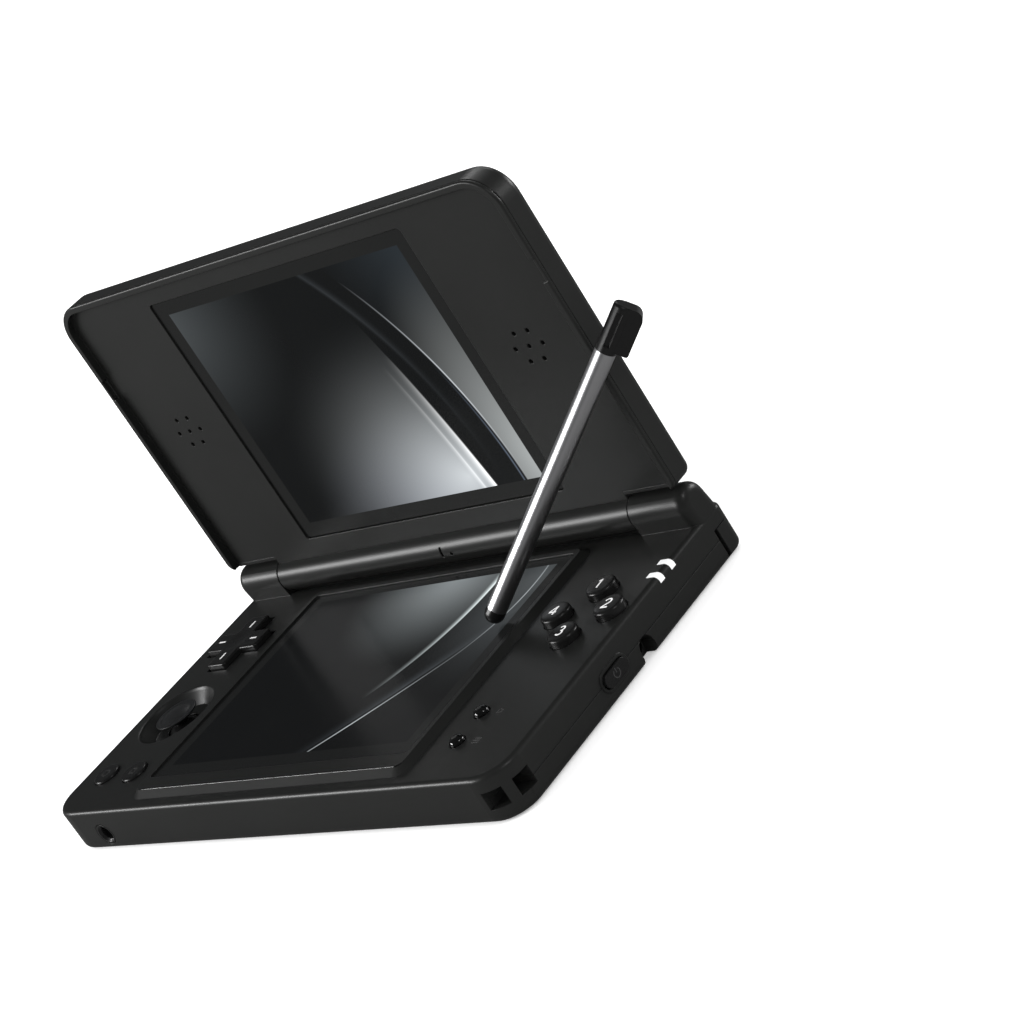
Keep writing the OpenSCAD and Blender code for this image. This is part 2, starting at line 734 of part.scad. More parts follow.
// Raised ring around a side control, on the right side.
module side_ring(y, length) {
    translate([side_x - wall / 2, y, side_z]) difference() {
        side_pill(length + 2 * (side_gap + ring_w), power_h + 2 * (side_gap + ring_w), wall / 2 + ring_h);
        translate([-bite, 0, 0])
            side_pill(length + 2 * side_gap, power_h + 2 * side_gap, wall + 2 * bite + ring_h);
    }
}

// Tunnel of the wrist strap around the front right corner.
module strap_tunnel() {
    translate([strap_in, strap_y - strap_w / 2, strap_z - strap_w / 2])
        cube([strap_from_side + strap_w, strap_w, strap_w]);
    translate([strap_in, front_y - bite, strap_z - strap_w / 2])
        cube([strap_w, strap_from_front + bite, strap_w]);
}

// Solid around the strap tunnel, between two heights.
module strap_block(low, high) {
    intersection() {
        translate([strap_in - post_wall, front_y, low])
            cube([side_x, strap_from_front + strap_w / 2 + post_wall, high - low]);
        translate([0, 0, low])
            plate(body_w - wall, body_d - wall, high - low, corner_r - wall / 2, back_corner_r - wall / 2);
    }
}

// One status lens: an L across the deck's edge, in the XZ plane.
module lens_shape(y, grow) {
    translate([0, y - lens_w / 2 - grow, 0]) {
        translate([side_x - lens_reach - grow, 0, base_h - lens_t - grow])
            cube([lens_reach + grow, lens_w + 2 * grow, lens_t + grow]);
        translate([side_x - lens_t - grow, 0, base_h - lens_drop - grow])
            cube([lens_t + grow, lens_w + 2 * grow, lens_drop + grow]);
    }
}

// Bare outer form of the base's upper half.
module top_form() {
    translate([0, 0, split_z])
        soft_plate(body_w, body_d, base_h - split_z, corner_r, back_corner_r, deck_edge_r, seam_r);
}

// Lower part of the front wall, which belongs to the upper half so that the
// front face shows no parting line.
module front_skirt() {
    intersection() {
        difference() {
            soft_plate(body_w, body_d, base_h, corner_r, back_corner_r, deck_edge_r, sole_edge_r);
            translate([0, 0, -bite])
                plate(body_w - 2 * wall, body_d - 2 * wall, base_h, corner_r - wall, back_corner_r - wall);
        }
        translate([-body_w, front_y - bite, -bite])
            cube([2 * body_w, strap_from_front + bite, split_z + 2 * bite]);
    }
}

module base_bottom_case() {
    color([0.17, 0.18, 0.18]) difference() {
        union() {
            difference() {
                soft_plate(body_w, body_d, split_z, corner_r, back_corner_r, seam_r, sole_edge_r);
                translate([0, 0, floor_t])
                    plate(body_w - 2 * wall, body_d - 2 * wall, split_z, corner_r - wall,
                        back_corner_r - wall);
            }
            translate([slot_end - slot_wall, slot_y - slot_r - slot_wall, floor_t / 2])
                cube([slot_l + slot_wall - wall, 2 * (slot_r + slot_wall),
                    board_bottom - seat_gap - floor_t / 2]);
            at_screws() cylinder(r = post_r, h = split_z);
            intersection() {
                union() {
                    side_ring(power_y, power_l);
                    mirror([1, 0, 0]) side_ring(volume_y, volume_l);
                }
                translate([-body_w, -body_d, 0]) cube([2 * body_w, 2 * body_d, split_z]);
            }
            strap_block(floor_t / 2, split_z);
            for (m = [0, 1]) mirror([m, 0, 0]) shoulder_pocket(floor_t / 2, split_z);
        }
        translate([slot_end, slot_y, slot_z]) rotate([0, 90, 0]) cylinder(r = slot_r, h = slot_l + bite);
        front_skirt();
        translate([side_x - scoop_l, slot_y - slot_r - slot_gap, -bite])
            cube([scoop_l + bite, 2 * (slot_r + slot_gap), slot_z + bite]);
        at_screws() {
            translate([0, 0, -bite]) cylinder(r = well_r, h = well_depth + bite);
            cylinder(r = shank_r + seat_gap, h = base_h);
        }
        for (s = [-1, 1]) translate([s * pit_from_centre, screw_y, -bite])
            cylinder(r = pit_r, h = pit_depth + bite);
        strap_tunnel();
        for (m = [0, 1]) mirror([m, 0, 0]) shoulder_space(shoulder_gap, shoulder_travel + shoulder_stop);
        translate([jack_x, front_y - bite, jack_z]) rotate([-90, 0, 0])
            cylinder(r = jack_ring_r + port_gap, h = wall + 2 * bite);
        translate([side_x - wall - bite, power_y, side_z])
            side_pill(power_l + 2 * side_gap, power_h + 2 * side_gap, wall + 2 * bite + ring_h);
        translate([-side_x - bite - ring_h, volume_y, side_z])
            side_pill(volume_l + 2 * side_gap, power_h + 2 * side_gap, wall + 2 * bite + ring_h);
        translate([port_from_centre - port_w / 2 - port_gap, back_y - wall - bite,
            port_z - port_h / 2 - port_gap])
            cube([port_w + 2 * port_gap, wall + 2 * bite, port_h + 2 * port_gap]);
    }
}

module base_top_case() {
    color([0.19, 0.2, 0.2]) difference() {
        union() {
            difference() {
                top_form();
                translate([0, 0, split_z - bite])
                    plate(body_w - 2 * wall, body_d - 2 * wall, ceiling_z - split_z + bite,
                        corner_r - wall, back_corner_r - wall);
                control_openings();
            }
            platform(ceiling_z);
            front_skirt();
            stick_bowl();
            for (m = [0, 1]) mirror([m, 0, 0]) knuckle();
            at_screws() translate([0, 0, split_z]) cylinder(r = post_r, h = base_h - split_z - deck_t / 2);
            strap_block(split_z, base_h - deck_t / 2);
            for (m = [0, 1]) mirror([m, 0, 0]) shoulder_pocket(split_z, base_h - deck_t / 2);
            intersection() {
                union() {
                    side_ring(power_y, power_l);
                    mirror([1, 0, 0]) side_ring(volume_y, volume_l);
                }
                translate([-body_w, -body_d, split_z]) cube([2 * body_w, 2 * body_d, base_h]);
            }
        }
        menu_rooms();
        translate([0, (glass_front + glass_rear) / 2, lower_glass_z])
            even_plate(glass_w + 2 * glass_gap, glass_rear - glass_front + 2 * glass_gap, base_h,
                bite);
        translate([0, display_y, ceiling_z - bite])
            even_plate(display_w + 2 * (module_edge + seat_gap), display_h + 2 * (module_edge + seat_gap),
                deck_t + platform_h + bite, module_edge);
        translate([-barrel_half - barrel_end_gap, hinge_y, hinge_z]) rotate([0, 90, 0])
            cylinder(r = barrel_r + trough_gap, h = 2 * (barrel_half + barrel_end_gap));
        translate([-knuckle_in - pin_in_knuckle, hinge_y, hinge_z]) rotate([0, 90, 0])
            cylinder(r = pin_r, h = 2 * (knuckle_in + pin_in_knuckle));
        at_screws() translate([0, 0, split_z - bite]) cylinder(r = shank_r, h = deck_t + 2 * bite);
        strap_tunnel();
        for (m = [0, 1]) mirror([m, 0, 0]) shoulder_space(shoulder_gap, shoulder_travel + shoulder_stop);
        translate([slot_end, slot_y, slot_z]) rotate([0, 90, 0]) cylinder(r = slot_r, h = slot_l + bite);
        translate([jack_x, front_y - bite, jack_z]) rotate([-90, 0, 0])
            cylinder(r = jack_ring_r + port_gap, h = wall + 2 * bite);
        translate([side_x - wall - bite, power_y, side_z])
            side_pill(power_l + 2 * side_gap, power_h + 2 * side_gap, wall + 2 * bite + ring_h);
        translate([-side_x - bite - ring_h, volume_y, side_z])
            side_pill(volume_l + 2 * side_gap, power_h + 2 * side_gap, wall + 2 * bite + ring_h);
        translate([port_from_centre - port_w / 2 - port_gap, back_y - wall - bite,
            port_z - port_h / 2 - port_gap])
            cube([port_w + 2 * port_gap, wall + 2 * bite, port_h + 2 * port_gap]);
        for (i = [0, 1]) lens_shape(hinge_y - lens_from_hinge - i * lens_pitch, 0);
    }
}

module lower_glass() {
    color([0.24, 0.26, 0.3]) translate([0, (glass_front + glass_rear) / 2, lower_glass_z])
        even_plate(glass_w, glass_rear - glass_front, glass_t, bite - glass_gap);
}

module lower_display() {
    color([0.1, 0.11, 0.13]) translate([0, display_y, ceiling_z])
        even_plate(display_w + 2 * module_edge, display_h + 2 * module_edge, module_t,
            module_edge - seat_gap);
}

module display_tray() {
    low = ceiling_z - tray_t;
    color([0.6, 0.62, 0.64]) {
        translate([0, display_y, low])
            even_plate(display_w + 2 * (module_edge + tray_lap), display_h + 2 * (module_edge + tray_lap),
                tray_t, tray_lap);
        for (sx = [-1, 1], sy = [-1, 1])
            translate([sx * display_w / 2, display_y + sy * display_h / 2, board_top])
                cylinder(r = tray_lap, h = low - board_top);
    }
}

module main_board() {
    color([0.1, 0.33, 0.2]) difference() {
        translate([0, 0, board_bottom])
            plate(body_w - 2 * (wall + board_gap), body_d - 2 * (wall + board_gap), board_t,
                corner_r - wall - board_gap, back_corner_r - wall - board_gap);
        at_screws() cylinder(r = post_r + board_gap, h = base_h);
        translate([strap_in - post_wall - board_gap, front_y, 0])
            cube([side_x, strap_from_front + strap_w / 2 + post_wall + board_gap, base_h]);
        translate([jack_x - jack_ring_r - board_gap, front_y, 0])
            cube([2 * (jack_ring_r + board_gap), jack_l + board_gap, base_h]);
        translate([stick_x - stick_box / 2 - seat_gap, stick_y - stick_box / 2 - seat_gap, 0])
            cube([stick_box + 2 * seat_gap, stick_box + 2 * seat_gap, base_h]);
        for (m = [0, 1]) mirror([m, 0, 0])
            shoulder_space(wall + board_gap, shoulder_travel + shoulder_stop + wall + board_gap);
        translate([side_room_x, power_y - power_l / 2 - board_gap, 0])
            cube([side_x, power_l + 2 * board_gap, base_h]);
        translate([-side_room_x - side_x, volume_y - volume_l / 2 - board_gap, 0])
            cube([side_x, volume_l + 2 * board_gap, base_h]);
    }
}

module battery() {
    color([0.12, 0.12, 0.13]) translate([battery_x, battery_y, floor_t])
        even_plate(battery_w, battery_d, battery_t, bite);
}

module key_mats() {
    color([0.75, 0.75, 0.72]) {
        for (a = [0:90:270])
            translate([face_x + face_offset * cos(a), face_y + face_offset * sin(a), board_top])
                cylinder(r = face_r - button_edge_r, h = mat_top - board_top);
        translate([face_x, face_y, board_top])
            even_plate(2 * (face_offset + option_r), 2 * (face_offset + option_r), mat_t, bite);
        for (y = [start_y, select_y])
            translate([option_x, y, board_top]) cylinder(r = option_r, h = mat_top - board_top);
        for (x = [menu_outer_x, menu_inner_x])
            translate([x, menu_y, board_top]) cylinder(r = option_r, h = mat_top - board_top);
        for (a = [0:90:270])
            translate([pad_x + pad_arm * cos(a), pad_y + pad_arm * sin(a), board_top])
                cylinder(r = option_r, h = mat_t);
    }
}

module stick_housing() {
    color([0.3, 0.3, 0.32]) difference() {
        translate([stick_x - stick_box / 2, stick_y - stick_box / 2, floor_t])
            cube([stick_box, stick_box, bowl_z - bowl_wall - seat_gap - floor_t]);
        translate([stick_x, stick_y, floor_t + stick_wall / 2])
            cylinder(r = stick_box / 2 - stick_wall, h = base_h);
        translate([stick_x - stick_box, stick_y, stick_pivot_z]) rotate([0, 90, 0])
            cylinder(r = trunnion_r + ball_gap, h = 2 * stick_box);
    }
}

module headphone_socket() {
    color([0.2, 0.2, 0.21]) difference() {
        union() {
            translate([jack_x, front_y, jack_z]) rotate([-90, 0, 0])
                cylinder(r = jack_ring_r, h = wall + bite);
            translate([jack_x - jack_half, front_y + wall + bite / 2, jack_z - jack_half])
                cube([2 * jack_half, jack_l - wall - bite / 2, 2 * jack_half]);
        }
        translate([jack_x, front_y - bite, jack_z]) rotate([-90, 0, 0])
            cylinder(r = jack_bore_r, h = jack_l);
        translate([jack_x, front_y, jack_z]) rotate([-90, 0, 0])
            cylinder(r1 = jack_bore_r + jack_mouth, r2 = jack_bore_r, h = jack_mouth);
    }
}

module charge_port() {
    color([0.7, 0.7, 0.72]) difference() {
        translate([port_from_centre, back_y - port_l, port_z]) rotate([-90, 0, 0])
            linear_extrude(port_l - seat_gap) {
                square([port_w - port_h, port_h], center = true);
                for (s = [-1, 1]) translate([s * (port_w - port_h) / 2, 0]) circle(port_h / 2);
            }
        translate([port_from_centre, back_y - port_l + bite, port_z]) rotate([-90, 0, 0])
            linear_extrude(port_l) {
                square([port_w - port_h, port_h - 2 * port_wall], center = true);
                for (s = [-1, 1])
                    translate([s * (port_w - port_h) / 2, 0]) circle(port_h / 2 - port_wall);
            }
    }
    color([0.1, 0.1, 0.1])
        translate([port_from_centre - port_w / 4, back_y - port_l + bite / 2, port_z - port_wall])
            cube([port_w / 2, port_l - 2 * bite, 2 * port_wall]);
}

module status_lenses() {
    color([0.93, 0.94, 0.95]) intersection() {
        for (i = [0, 1]) lens_shape(hinge_y - lens_from_hinge - i * lens_pitch, 0);
        top_form();
    }
}

module base_screws() {
    color([0.55, 0.55, 0.57]) at_screws() difference() {
        union() {
            translate([0, 0, well_depth - head_h]) cylinder(r = head_r, h = head_h);
            translate([0, 0, well_depth - bite / 2])
                cylinder(r = shank_r, h = split_z + deck_t - well_depth + bite / 2);
        }
        translate([0, 0, well_depth - head_h - bite])
            linear_extrude(bite + head_h / 2) pad_cross(head_r, head_r / 4);
    }
}

module hinge_pins() {
    color([0.72, 0.73, 0.75]) for (m = [0, 1]) mirror([m, 0, 0])
        translate([knuckle_in - pin_in_barrel, hinge_y, hinge_z]) rotate([0, 90, 0])
            cylinder(r = pin_r, h = pin_in_barrel + pin_in_knuckle);
}

module side_switches() {
    inner = side_x - wall - side_depth - power_travel - seat_gap;
    switch_z = side_z - power_h / 2;
    color([0.8, 0.8, 0.82]) {
        translate([inner - side_depth, power_y - power_h / 2, switch_z])
            cube([side_depth, power_h, board_bottom - switch_z]);
        for (s = [-1, 1])
            translate([-inner, volume_y + s * volume_l / 4 - power_h / 2, switch_z])
                cube([side_depth, power_h, board_bottom - switch_z]);
    }
}

module pad_ball() {
    color([0.8, 0.8, 0.82]) translate([pad_x, pad_y, pad_pivot_z]) sphere(pad_ball_r);
}

module direction_pad() {
    color([0.16, 0.17, 0.17]) translate([pad_x, pad_y, 0]) difference() {
        union() {
            translate([0, 0, pad_flange_low]) cylinder(r = pad_flange_r, h = flange_t);
            translate([0, 0, pad_flange_low])
                linear_extrude(base_h + pad_rise - pad_flange_low) pad_cross(pad_span, pad_arm);
        }
        translate([0, 0, pad_pivot_z]) sphere(pad_ball_r + ball_gap);
        translate([0, 0, pad_pivot_z - pad_ball_r]) cylinder(r = pad_ball_r + ball_gap, h = pad_ball_r);
        translate([0, 0, base_h + pad_rise + cap_dome_r - pad_dish]) sphere(cap_dome_r, $fn = 160);
    }
}

module stick_gimbal() {
    color([0.75, 0.75, 0.78]) translate([stick_x, stick_y, stick_pivot_z]) difference() {
        union() {
            translate([0, 0, -gimbal_t / 2]) cylinder(r = gimbal_r + gimbal_t, h = gimbal_t);
            rotate([0, 90, 0]) translate([0, 0, -stick_box / 2])
                cylinder(r = trunnion_r, h = stick_box);
        }
        cylinder(r = gimbal_r, h = stick_box, center = true);
        rotate([90, 0, 0])
            cylinder(r = trunnion_r + ball_gap, h = stick_box, center = true);
    }
}

module stick_stem() {
    color([0.22, 0.22, 0.23]) translate([stick_x, stick_y, stick_pivot_z]) {
        sphere(stick_ball_r);
        cylinder(r = stem_r, h = cap_low - stick_pivot_z);
        intersection() {
            sphere(skirt_r);
            translate([-skirt_r, -skirt_r, skirt_low]) cube(2 * skirt_r);
        }
        rotate([90, 0, 0])
            cylinder(r = trunnion_r, h = 2 * (gimbal_r + gimbal_t) - gimbal_t, center = true);
    }
}

module stick_cap() {
    sag = cap_dome_r - sqrt(cap_dome_r * cap_dome_r - cap_r * cap_r);
    color([0.24, 0.25, 0.26]) translate([stick_x, stick_y, 0]) intersection() {
        translate([0, 0, cap_low]) rotate_extrude()
            half_section(cap_r, cap_t + sag, button_edge_r, button_edge_r);
        translate([0, 0, cap_top - cap_dome_r]) sphere(cap_dome_r, $fn = 160);
    }
}

module button_north() {
    color([0.2, 0.2, 0.21]) deck_button(face_x, face_y + face_offset, face_r, face_rise, button_edge_r);
}

module button_east() {
    color([0.2, 0.2, 0.21]) deck_button(face_x + face_offset, face_y, face_r, face_rise, button_edge_r);
}

module button_south() {
    color([0.2, 0.2, 0.21]) deck_button(face_x, face_y - face_offset, face_r, face_rise, button_edge_r);
}

module button_west() {
    color([0.2, 0.2, 0.21]) deck_button(face_x - face_offset, face_y, face_r, face_rise, button_edge_r);
}

module start_button() {
    color([0.1, 0.1, 0.11]) deck_button(option_x, start_y, option_r, option_rise, option_edge_r);
}

module select_button() {
    color([0.1, 0.1, 0.11]) deck_button(option_x, select_y, option_r, option_rise, option_edge_r);
}

module menu_button_outer() {
    color([0.2, 0.2, 0.21]) deck_button(menu_outer_x, menu_y, menu_r, menu_rise, button_edge_r);
}

module menu_button_inner() {
    color([0.2, 0.2, 0.21]) deck_button(menu_inner_x, menu_y, menu_r, menu_rise, button_edge_r);
}

module power_button() {
    color([0.2, 0.2, 0.21]) {
        translate([side_x - wall - side_depth, power_y, side_z])
            side_pill(power_l, power_h, wall + side_depth + side_rise);
    }
}

module volume_rocker() {
    color([0.2, 0.2, 0.21]) translate([-side_x - side_rise, volume_y, side_z])
        side_pill(volume_l, power_h, wall + side_depth + side_rise);
}

// Shoulder button at the right corner.
module shoulder_form() {
    intersection() {
        union() {
            soft_plate(body_w, body_d, base_h, corner_r, back_corner_r, deck_edge_r, sole_edge_r);
        }
        shoulder_space(0, 0);
    }
}

module shoulder_left() {
    color([0.22, 0.23, 0.23]) mirror([1, 0, 0]) shoulder_form();
}

module shoulder_right() {
    color([0.22, 0.23, 0.23]) shoulder_form();
}

// Plate over the whole lid in plan, in the lid's own frame, drawn in by
// inset on all sides.
module lid_plate(inset, low, height) {
    translate([0, (lid_root + lid_l) / 2, low])
        plate(body_w - 2 * inset, lid_l - lid_root - 2 * inset, height, root_corner_r - inset,
            corner_r - inset);
}

// Web that joins the barrel to the lid covers.
module barrel_web(low, high) {
    translate([-barrel_half, 0, low]) cube([2 * barrel_half, lid_root + corner_r, high - low]);
}

// Room in front of the inner panel, inside the rim, open towards the hinge.
module panel_room() {
    translate([0, (lid_l - rim_w) / 2 - bite, panel_w_z])
        plate(body_w - 2 * rim_w, lid_l - rim_w + 2 * bite, lid_t, bite, corner_r - rim_w);
}

// Room of the barrel in the lid covers.
module barrel_room() {
    rotate([0, 90, 0]) translate([0, 0, -body_w]) cylinder(r = barrel_r, h = 2 * body_w);
}

module lid_outer_cover() {
    color([0.17, 0.18, 0.18]) on_lid() difference() {
        union() {
            translate([0, (lid_root + lid_l) / 2, outer_w_z])
                soft_plate(body_w, lid_l - lid_root, seam_w_z - outer_w_z, root_corner_r, corner_r,
                    seam_r, lid_edge_r);
            barrel_web(outer_w_z, panel_low_z);
        }
        lid_plate(wall, outer_w_z + lid_wall, lid_t);
        lid_plate(lid_lip, panel_low_z, lid_t);
        barrel_web(panel_low_z, panel_w_z);
        panel_room();
        translate([-ribbon_w / 2 - seat_gap, 0, outer_w_z + lid_wall - seat_gap])
            cube([ribbon_w + 2 * seat_gap, lid_root + corner_r, ribbon_t + 2 * seat_gap]);
        barrel_room();
    }
}

module lid_front_frame() {
    upper_y = upper_from_hinge + display_h / 2;
    upper_glass_y = upper_from_hinge + (display_h + upper_top - upper_bottom) / 2;
    color([0.19, 0.2, 0.2]) on_lid() difference() {
        union() {
            translate([0, (lid_root + lid_l) / 2, seam_w_z])
                soft_plate(body_w, lid_l - lid_root, lid_seam, root_corner_r, corner_r, rim_edge_r, seam_r);
            lid_plate(lid_lip, panel_low_z, seam_w_z + seam_r - panel_low_z);
            barrel_web(panel_low_z, panel_w_z);
        }
        panel_room();
        translate([0, upper_glass_y, upper_glass_z])
            even_plate(display_w + 2 * (upper_side + glass_gap),
                display_h + upper_top + upper_bottom + 2 * glass_gap, lid_t, bite);
        translate([0, upper_y, panel_low_z - bite])
            even_plate(display_w + 2 * (module_edge + seat_gap), display_h + 2 * (module_edge + seat_gap),
                lid_t, module_edge);
        for (s = [-1, 1]) translate([s * speaker_x, speaker_from_hinge, panel_low_z - bite]) {
            cylinder(r = sound_hole_r, h = lid_t);
            for (a = [0:60:300]) rotate([0, 0, a]) translate([sound_ring_r, 0, 0])
                cylinder(r = sound_hole_r, h = lid_t);
        }
        for (m = [0, 1]) mirror([m, 0, 0])
            translate([side_x - 2 * rim_w, notch_from_hinge - notch_l / 2, rim_w_z]) {
                translate([0, 0, -notch_t]) cube([2 * rim_w - notch_skin, notch_l, lid_t]);
                translate([0, 0, -notch_step]) cube([3 * rim_w, notch_l, lid_t]);
            }
        barrel_room();
    }
}

module hinge_barrel() {
    color([0.2, 0.21, 0.21]) on_lid() difference() {
        rotate([0, 90, 0]) translate([0, 0, -barrel_half]) cylinder(r = barrel_r, h = 2 * barrel_half);
        for (s = [-1, 1]) rotate([0, s * 90, 0])
            translate([0, 0, knuckle_in - pin_in_barrel - seat_gap])
                cylinder(r = pin_r + pin_gap, h = pin_in_barrel + bite);
        translate([mic_x, 0, 0]) {
            cylinder(r = mic_r, h = barrel_r - bite);
            cylinder(r = mic_hole_r, h = 2 * barrel_r);
        }
        translate([-mic_slot_w, mic_slot_w - mic_slot_l / 2, barrel_r - mic_slot_depth])
            cube([mic_slot_w, mic_slot_l, barrel_r]);
        translate([-ribbon_w / 2 - seat_gap, 0, outer_w_z + lid_wall - seat_gap])
            cube([ribbon_w + 2 * seat_gap, lid_root, ribbon_t + 2 * seat_gap]);
    }
}

module upper_glass() {
    upper_glass_y = upper_from_hinge + (display_h + upper_top - upper_bottom) / 2;
    color([0.24, 0.26, 0.3]) on_lid() translate([0, upper_glass_y, upper_glass_z])
        even_plate(display_w + 2 * upper_side, display_h + upper_top + upper_bottom, glass_t,
            bite - glass_gap);
}

module upper_display() {
    upper_y = upper_from_hinge + display_h / 2;
    color([0.1, 0.11, 0.13]) on_lid() translate([0, upper_y, upper_glass_z - module_t])
        even_plate(display_w + 2 * module_edge, display_h + 2 * module_edge, module_t,
            module_edge - seat_gap);
}

module speakers() {
    color([0.3, 0.3, 0.3]) on_lid() for (s = [-1, 1])
        translate([s * speaker_x, speaker_from_hinge, panel_low_z - speaker_t])
            cylinder(r = speaker_r, h = speaker_t);
}

module microphone() {
    color([0.7, 0.6, 0.3]) on_lid() translate([mic_x, 0, 0])
        cylinder(r = mic_r, h = barrel_r - bite - seat_gap);
}

module display_ribbon() {
    color([0.6, 0.4, 0.15]) on_lid() {
        translate([-ribbon_w / 2, seat_gap, outer_w_z + lid_wall]) cube([ribbon_w, ribbon_l, ribbon_t]);
        translate([-ribbon_w / 2, ribbon_l - ribbon_w / 2, outer_w_z + lid_wall])
            cube([ribbon_w, ribbon_w / 2, upper_glass_z - module_t - outer_w_z - lid_wall]);
    }
}

module stylus_shaft() {
    color([0.62, 0.64, 0.67]) on_stylus() translate([0, 0, tip_l])
        cylinder(r = stylus_r, h = stylus_l - tip_l - stylus_cap_l);
}

module stylus_tip() {
    color([0.08, 0.08, 0.08]) on_stylus() intersection() {
        union() {
            translate([0, 0, stylus_r]) sphere(stylus_r);
            translate([0, 0, stylus_r]) cylinder(r = stylus_r, h = tip_l);
        }
        translate([-stylus_l, -stylus_l, 0]) cube([2 * stylus_l, 2 * stylus_l, tip_l]);
    }
}

module stylus_cap() {
    color([0.1, 0.1, 0.1]) on_stylus() translate([0, 0, stylus_l - stylus_cap_l]) {
        difference() {
            rotate_extrude() half_section(stylus_r, stylus_cap_l, button_edge_r, 0);
            translate([seat_gap - tongue_w, -stylus_r - bite, (stylus_cap_l - tongue_l) / 2])
                cube([tongue_w, tongue_depth + bite, tongue_l]);
        }
        translate([0, tab_t / 2, tab_lift]) rotate([90, 0, 0]) linear_extrude(tab_t)
            half_section(tab_reach, stylus_cap_l - tab_lift, tab_corner_r, button_edge_r);
    }
}

base_bottom_case();
base_top_case();
lower_glass();
lower_display();
display_tray();
main_board();
battery();
key_mats();
stick_housing();
headphone_socket();
charge_port();
status_lenses();
base_screws();
hinge_pins();
side_switches();
pad_ball();
direction_pad();
stick_gimbal();
stick_stem();
stick_cap();
button_north();
button_east();
button_south();
button_west();
start_button();
select_button();
menu_button_outer();
menu_button_inner();
power_button();
volume_rocker();
shoulder_left();
shoulder_right();
lid_outer_cover();
lid_front_frame();
hinge_barrel();
upper_glass();
upper_display();
speakers();
microphone();
display_ribbon();
stylus_shaft();
stylus_tip();
stylus_cap();
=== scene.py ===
import bpy, math
import numpy as np
from mathutils import Matrix


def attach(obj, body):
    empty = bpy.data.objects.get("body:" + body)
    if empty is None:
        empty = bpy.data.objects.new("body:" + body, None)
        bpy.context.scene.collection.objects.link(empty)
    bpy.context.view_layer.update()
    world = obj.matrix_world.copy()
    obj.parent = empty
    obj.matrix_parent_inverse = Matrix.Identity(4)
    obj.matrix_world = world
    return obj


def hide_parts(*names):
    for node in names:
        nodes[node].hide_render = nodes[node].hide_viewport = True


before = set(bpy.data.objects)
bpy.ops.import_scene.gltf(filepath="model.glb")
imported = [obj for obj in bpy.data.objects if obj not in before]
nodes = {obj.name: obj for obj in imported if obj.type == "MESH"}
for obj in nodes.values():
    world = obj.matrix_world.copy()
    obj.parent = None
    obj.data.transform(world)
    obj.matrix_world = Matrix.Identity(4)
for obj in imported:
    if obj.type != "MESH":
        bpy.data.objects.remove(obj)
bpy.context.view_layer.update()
sceneData = bpy.context.scene
mm = 0.001


def unit(direction):
    # the direction over its own length
    return direction / np.linalg.norm(direction)


def standing(right, up, back, place):
    # a placement whose columns are its right, up and backward directions and its place
    turned = np.eye(4)
    turned[:3, 0], turned[:3, 1], turned[:3, 2], turned[:3, 3] = right, up, back, place
    return Matrix(turned)


def addObject(name, data):
    made = bpy.data.objects.new(name, data)
    sceneData.collection.objects.link(made)
    return made


cameraSetup = {
    "place": (0.4785, -0.3367, 0.2354), "right": (0.67921, 0.52776, -0.51004),
    "up": (0.12712, 0.59984, 0.78996), "lens": 94.42, "sensor": 36.0, "nearest": 0.01,
}


def addCamera(setup):
    # up is squared to right, and backwards is their cross product
    right, up = unit(np.array(setup["right"])), np.array(setup["up"])
    up = unit(up - right * (up @ right))
    data = bpy.data.cameras.new("mainCamera")
    data.lens, data.sensor_width, data.clip_start = setup["lens"], setup["sensor"], setup["nearest"]
    camera = addObject("mainCamera", data)
    camera.matrix_world = standing(right, up, np.cross(right, up), setup["place"])
    sceneData.camera = camera


addCamera(cameraSetup)
sceneData.view_settings.view_transform = "Standard"
print("camera placed")


def addNode(tree, kind, settings=None, values=None):
    node = tree.nodes.new(kind)
    for key, value in (settings or {}).items():
        setattr(node, key, value)
    for key, value in (values or {}).items():
        node.inputs[key].default_value = value
    return node


def feed(tree, operand, socket):
    # an operand is another node's socket or a plain value
    if isinstance(operand, bpy.types.NodeSocket):
        tree.links.new(operand, socket)
    else:
        socket.default_value = operand


def calc(tree, operation, *operands, clamp=False):
    # one Math node
    node = addNode(tree, "ShaderNodeMath", {"operation": operation, "use_clamp": clamp})
    for index, operand in enumerate(operands):
        feed(tree, operand, node.inputs[index])
    return node.outputs[0]


def mixedTones(tree, share, first, second):
    # a colour that goes from the first tone to the second with share
    mix = addNode(tree, "ShaderNodeMix", {"data_type": "RGBA"}, {"A": (*first, 1.0), "B": (*second, 1.0)})
    tree.links.new(share, mix.inputs["Factor"])
    return mix.outputs["Result"]


def startMaterial(name):
    material = bpy.data.materials.new(name)
    material.use_nodes = True
    tree = material.node_tree
    return material, tree, tree.nodes["Principled BSDF"]


studio = {
    "skyStrength": 1.0,       # what the camera and the matt surfaces see
    "skyColour": (1.0, 1.0, 1.0),
    "mirrorStrength": 0.075,  # what glossy surfaces see, so that black plastic stays black
    "mirrorColour": (0.95, 0.98, 1.0),
    "floorColour": (0.9, 0.9, 0.9), "floorMirror": (0.19, 0.19, 0.19), "floorGlow": 0.3,
    "floorRoughness": 0.9, "floorSize": 6.0, "floorLevel": -0.0002,
    "aim": (0, 0, 0.05),
    # name, place, width, height, watts
    "lamps": [
        ("frontLeftStrip", (-1.0, -0.95, 0.58), 0.95, 0.26, 19.0),
        ("backStrip", (-0.5, 1.2, 1.0), 0.9, 0.15, 3.0),
        ("rightBox", (1.2, -0.1, 1.0), 0.3, 0.3, 3.0),
        ("backBox", (0.7, 1.4, 0.35), 0.8, 0.3, 9.0),
    ],
}


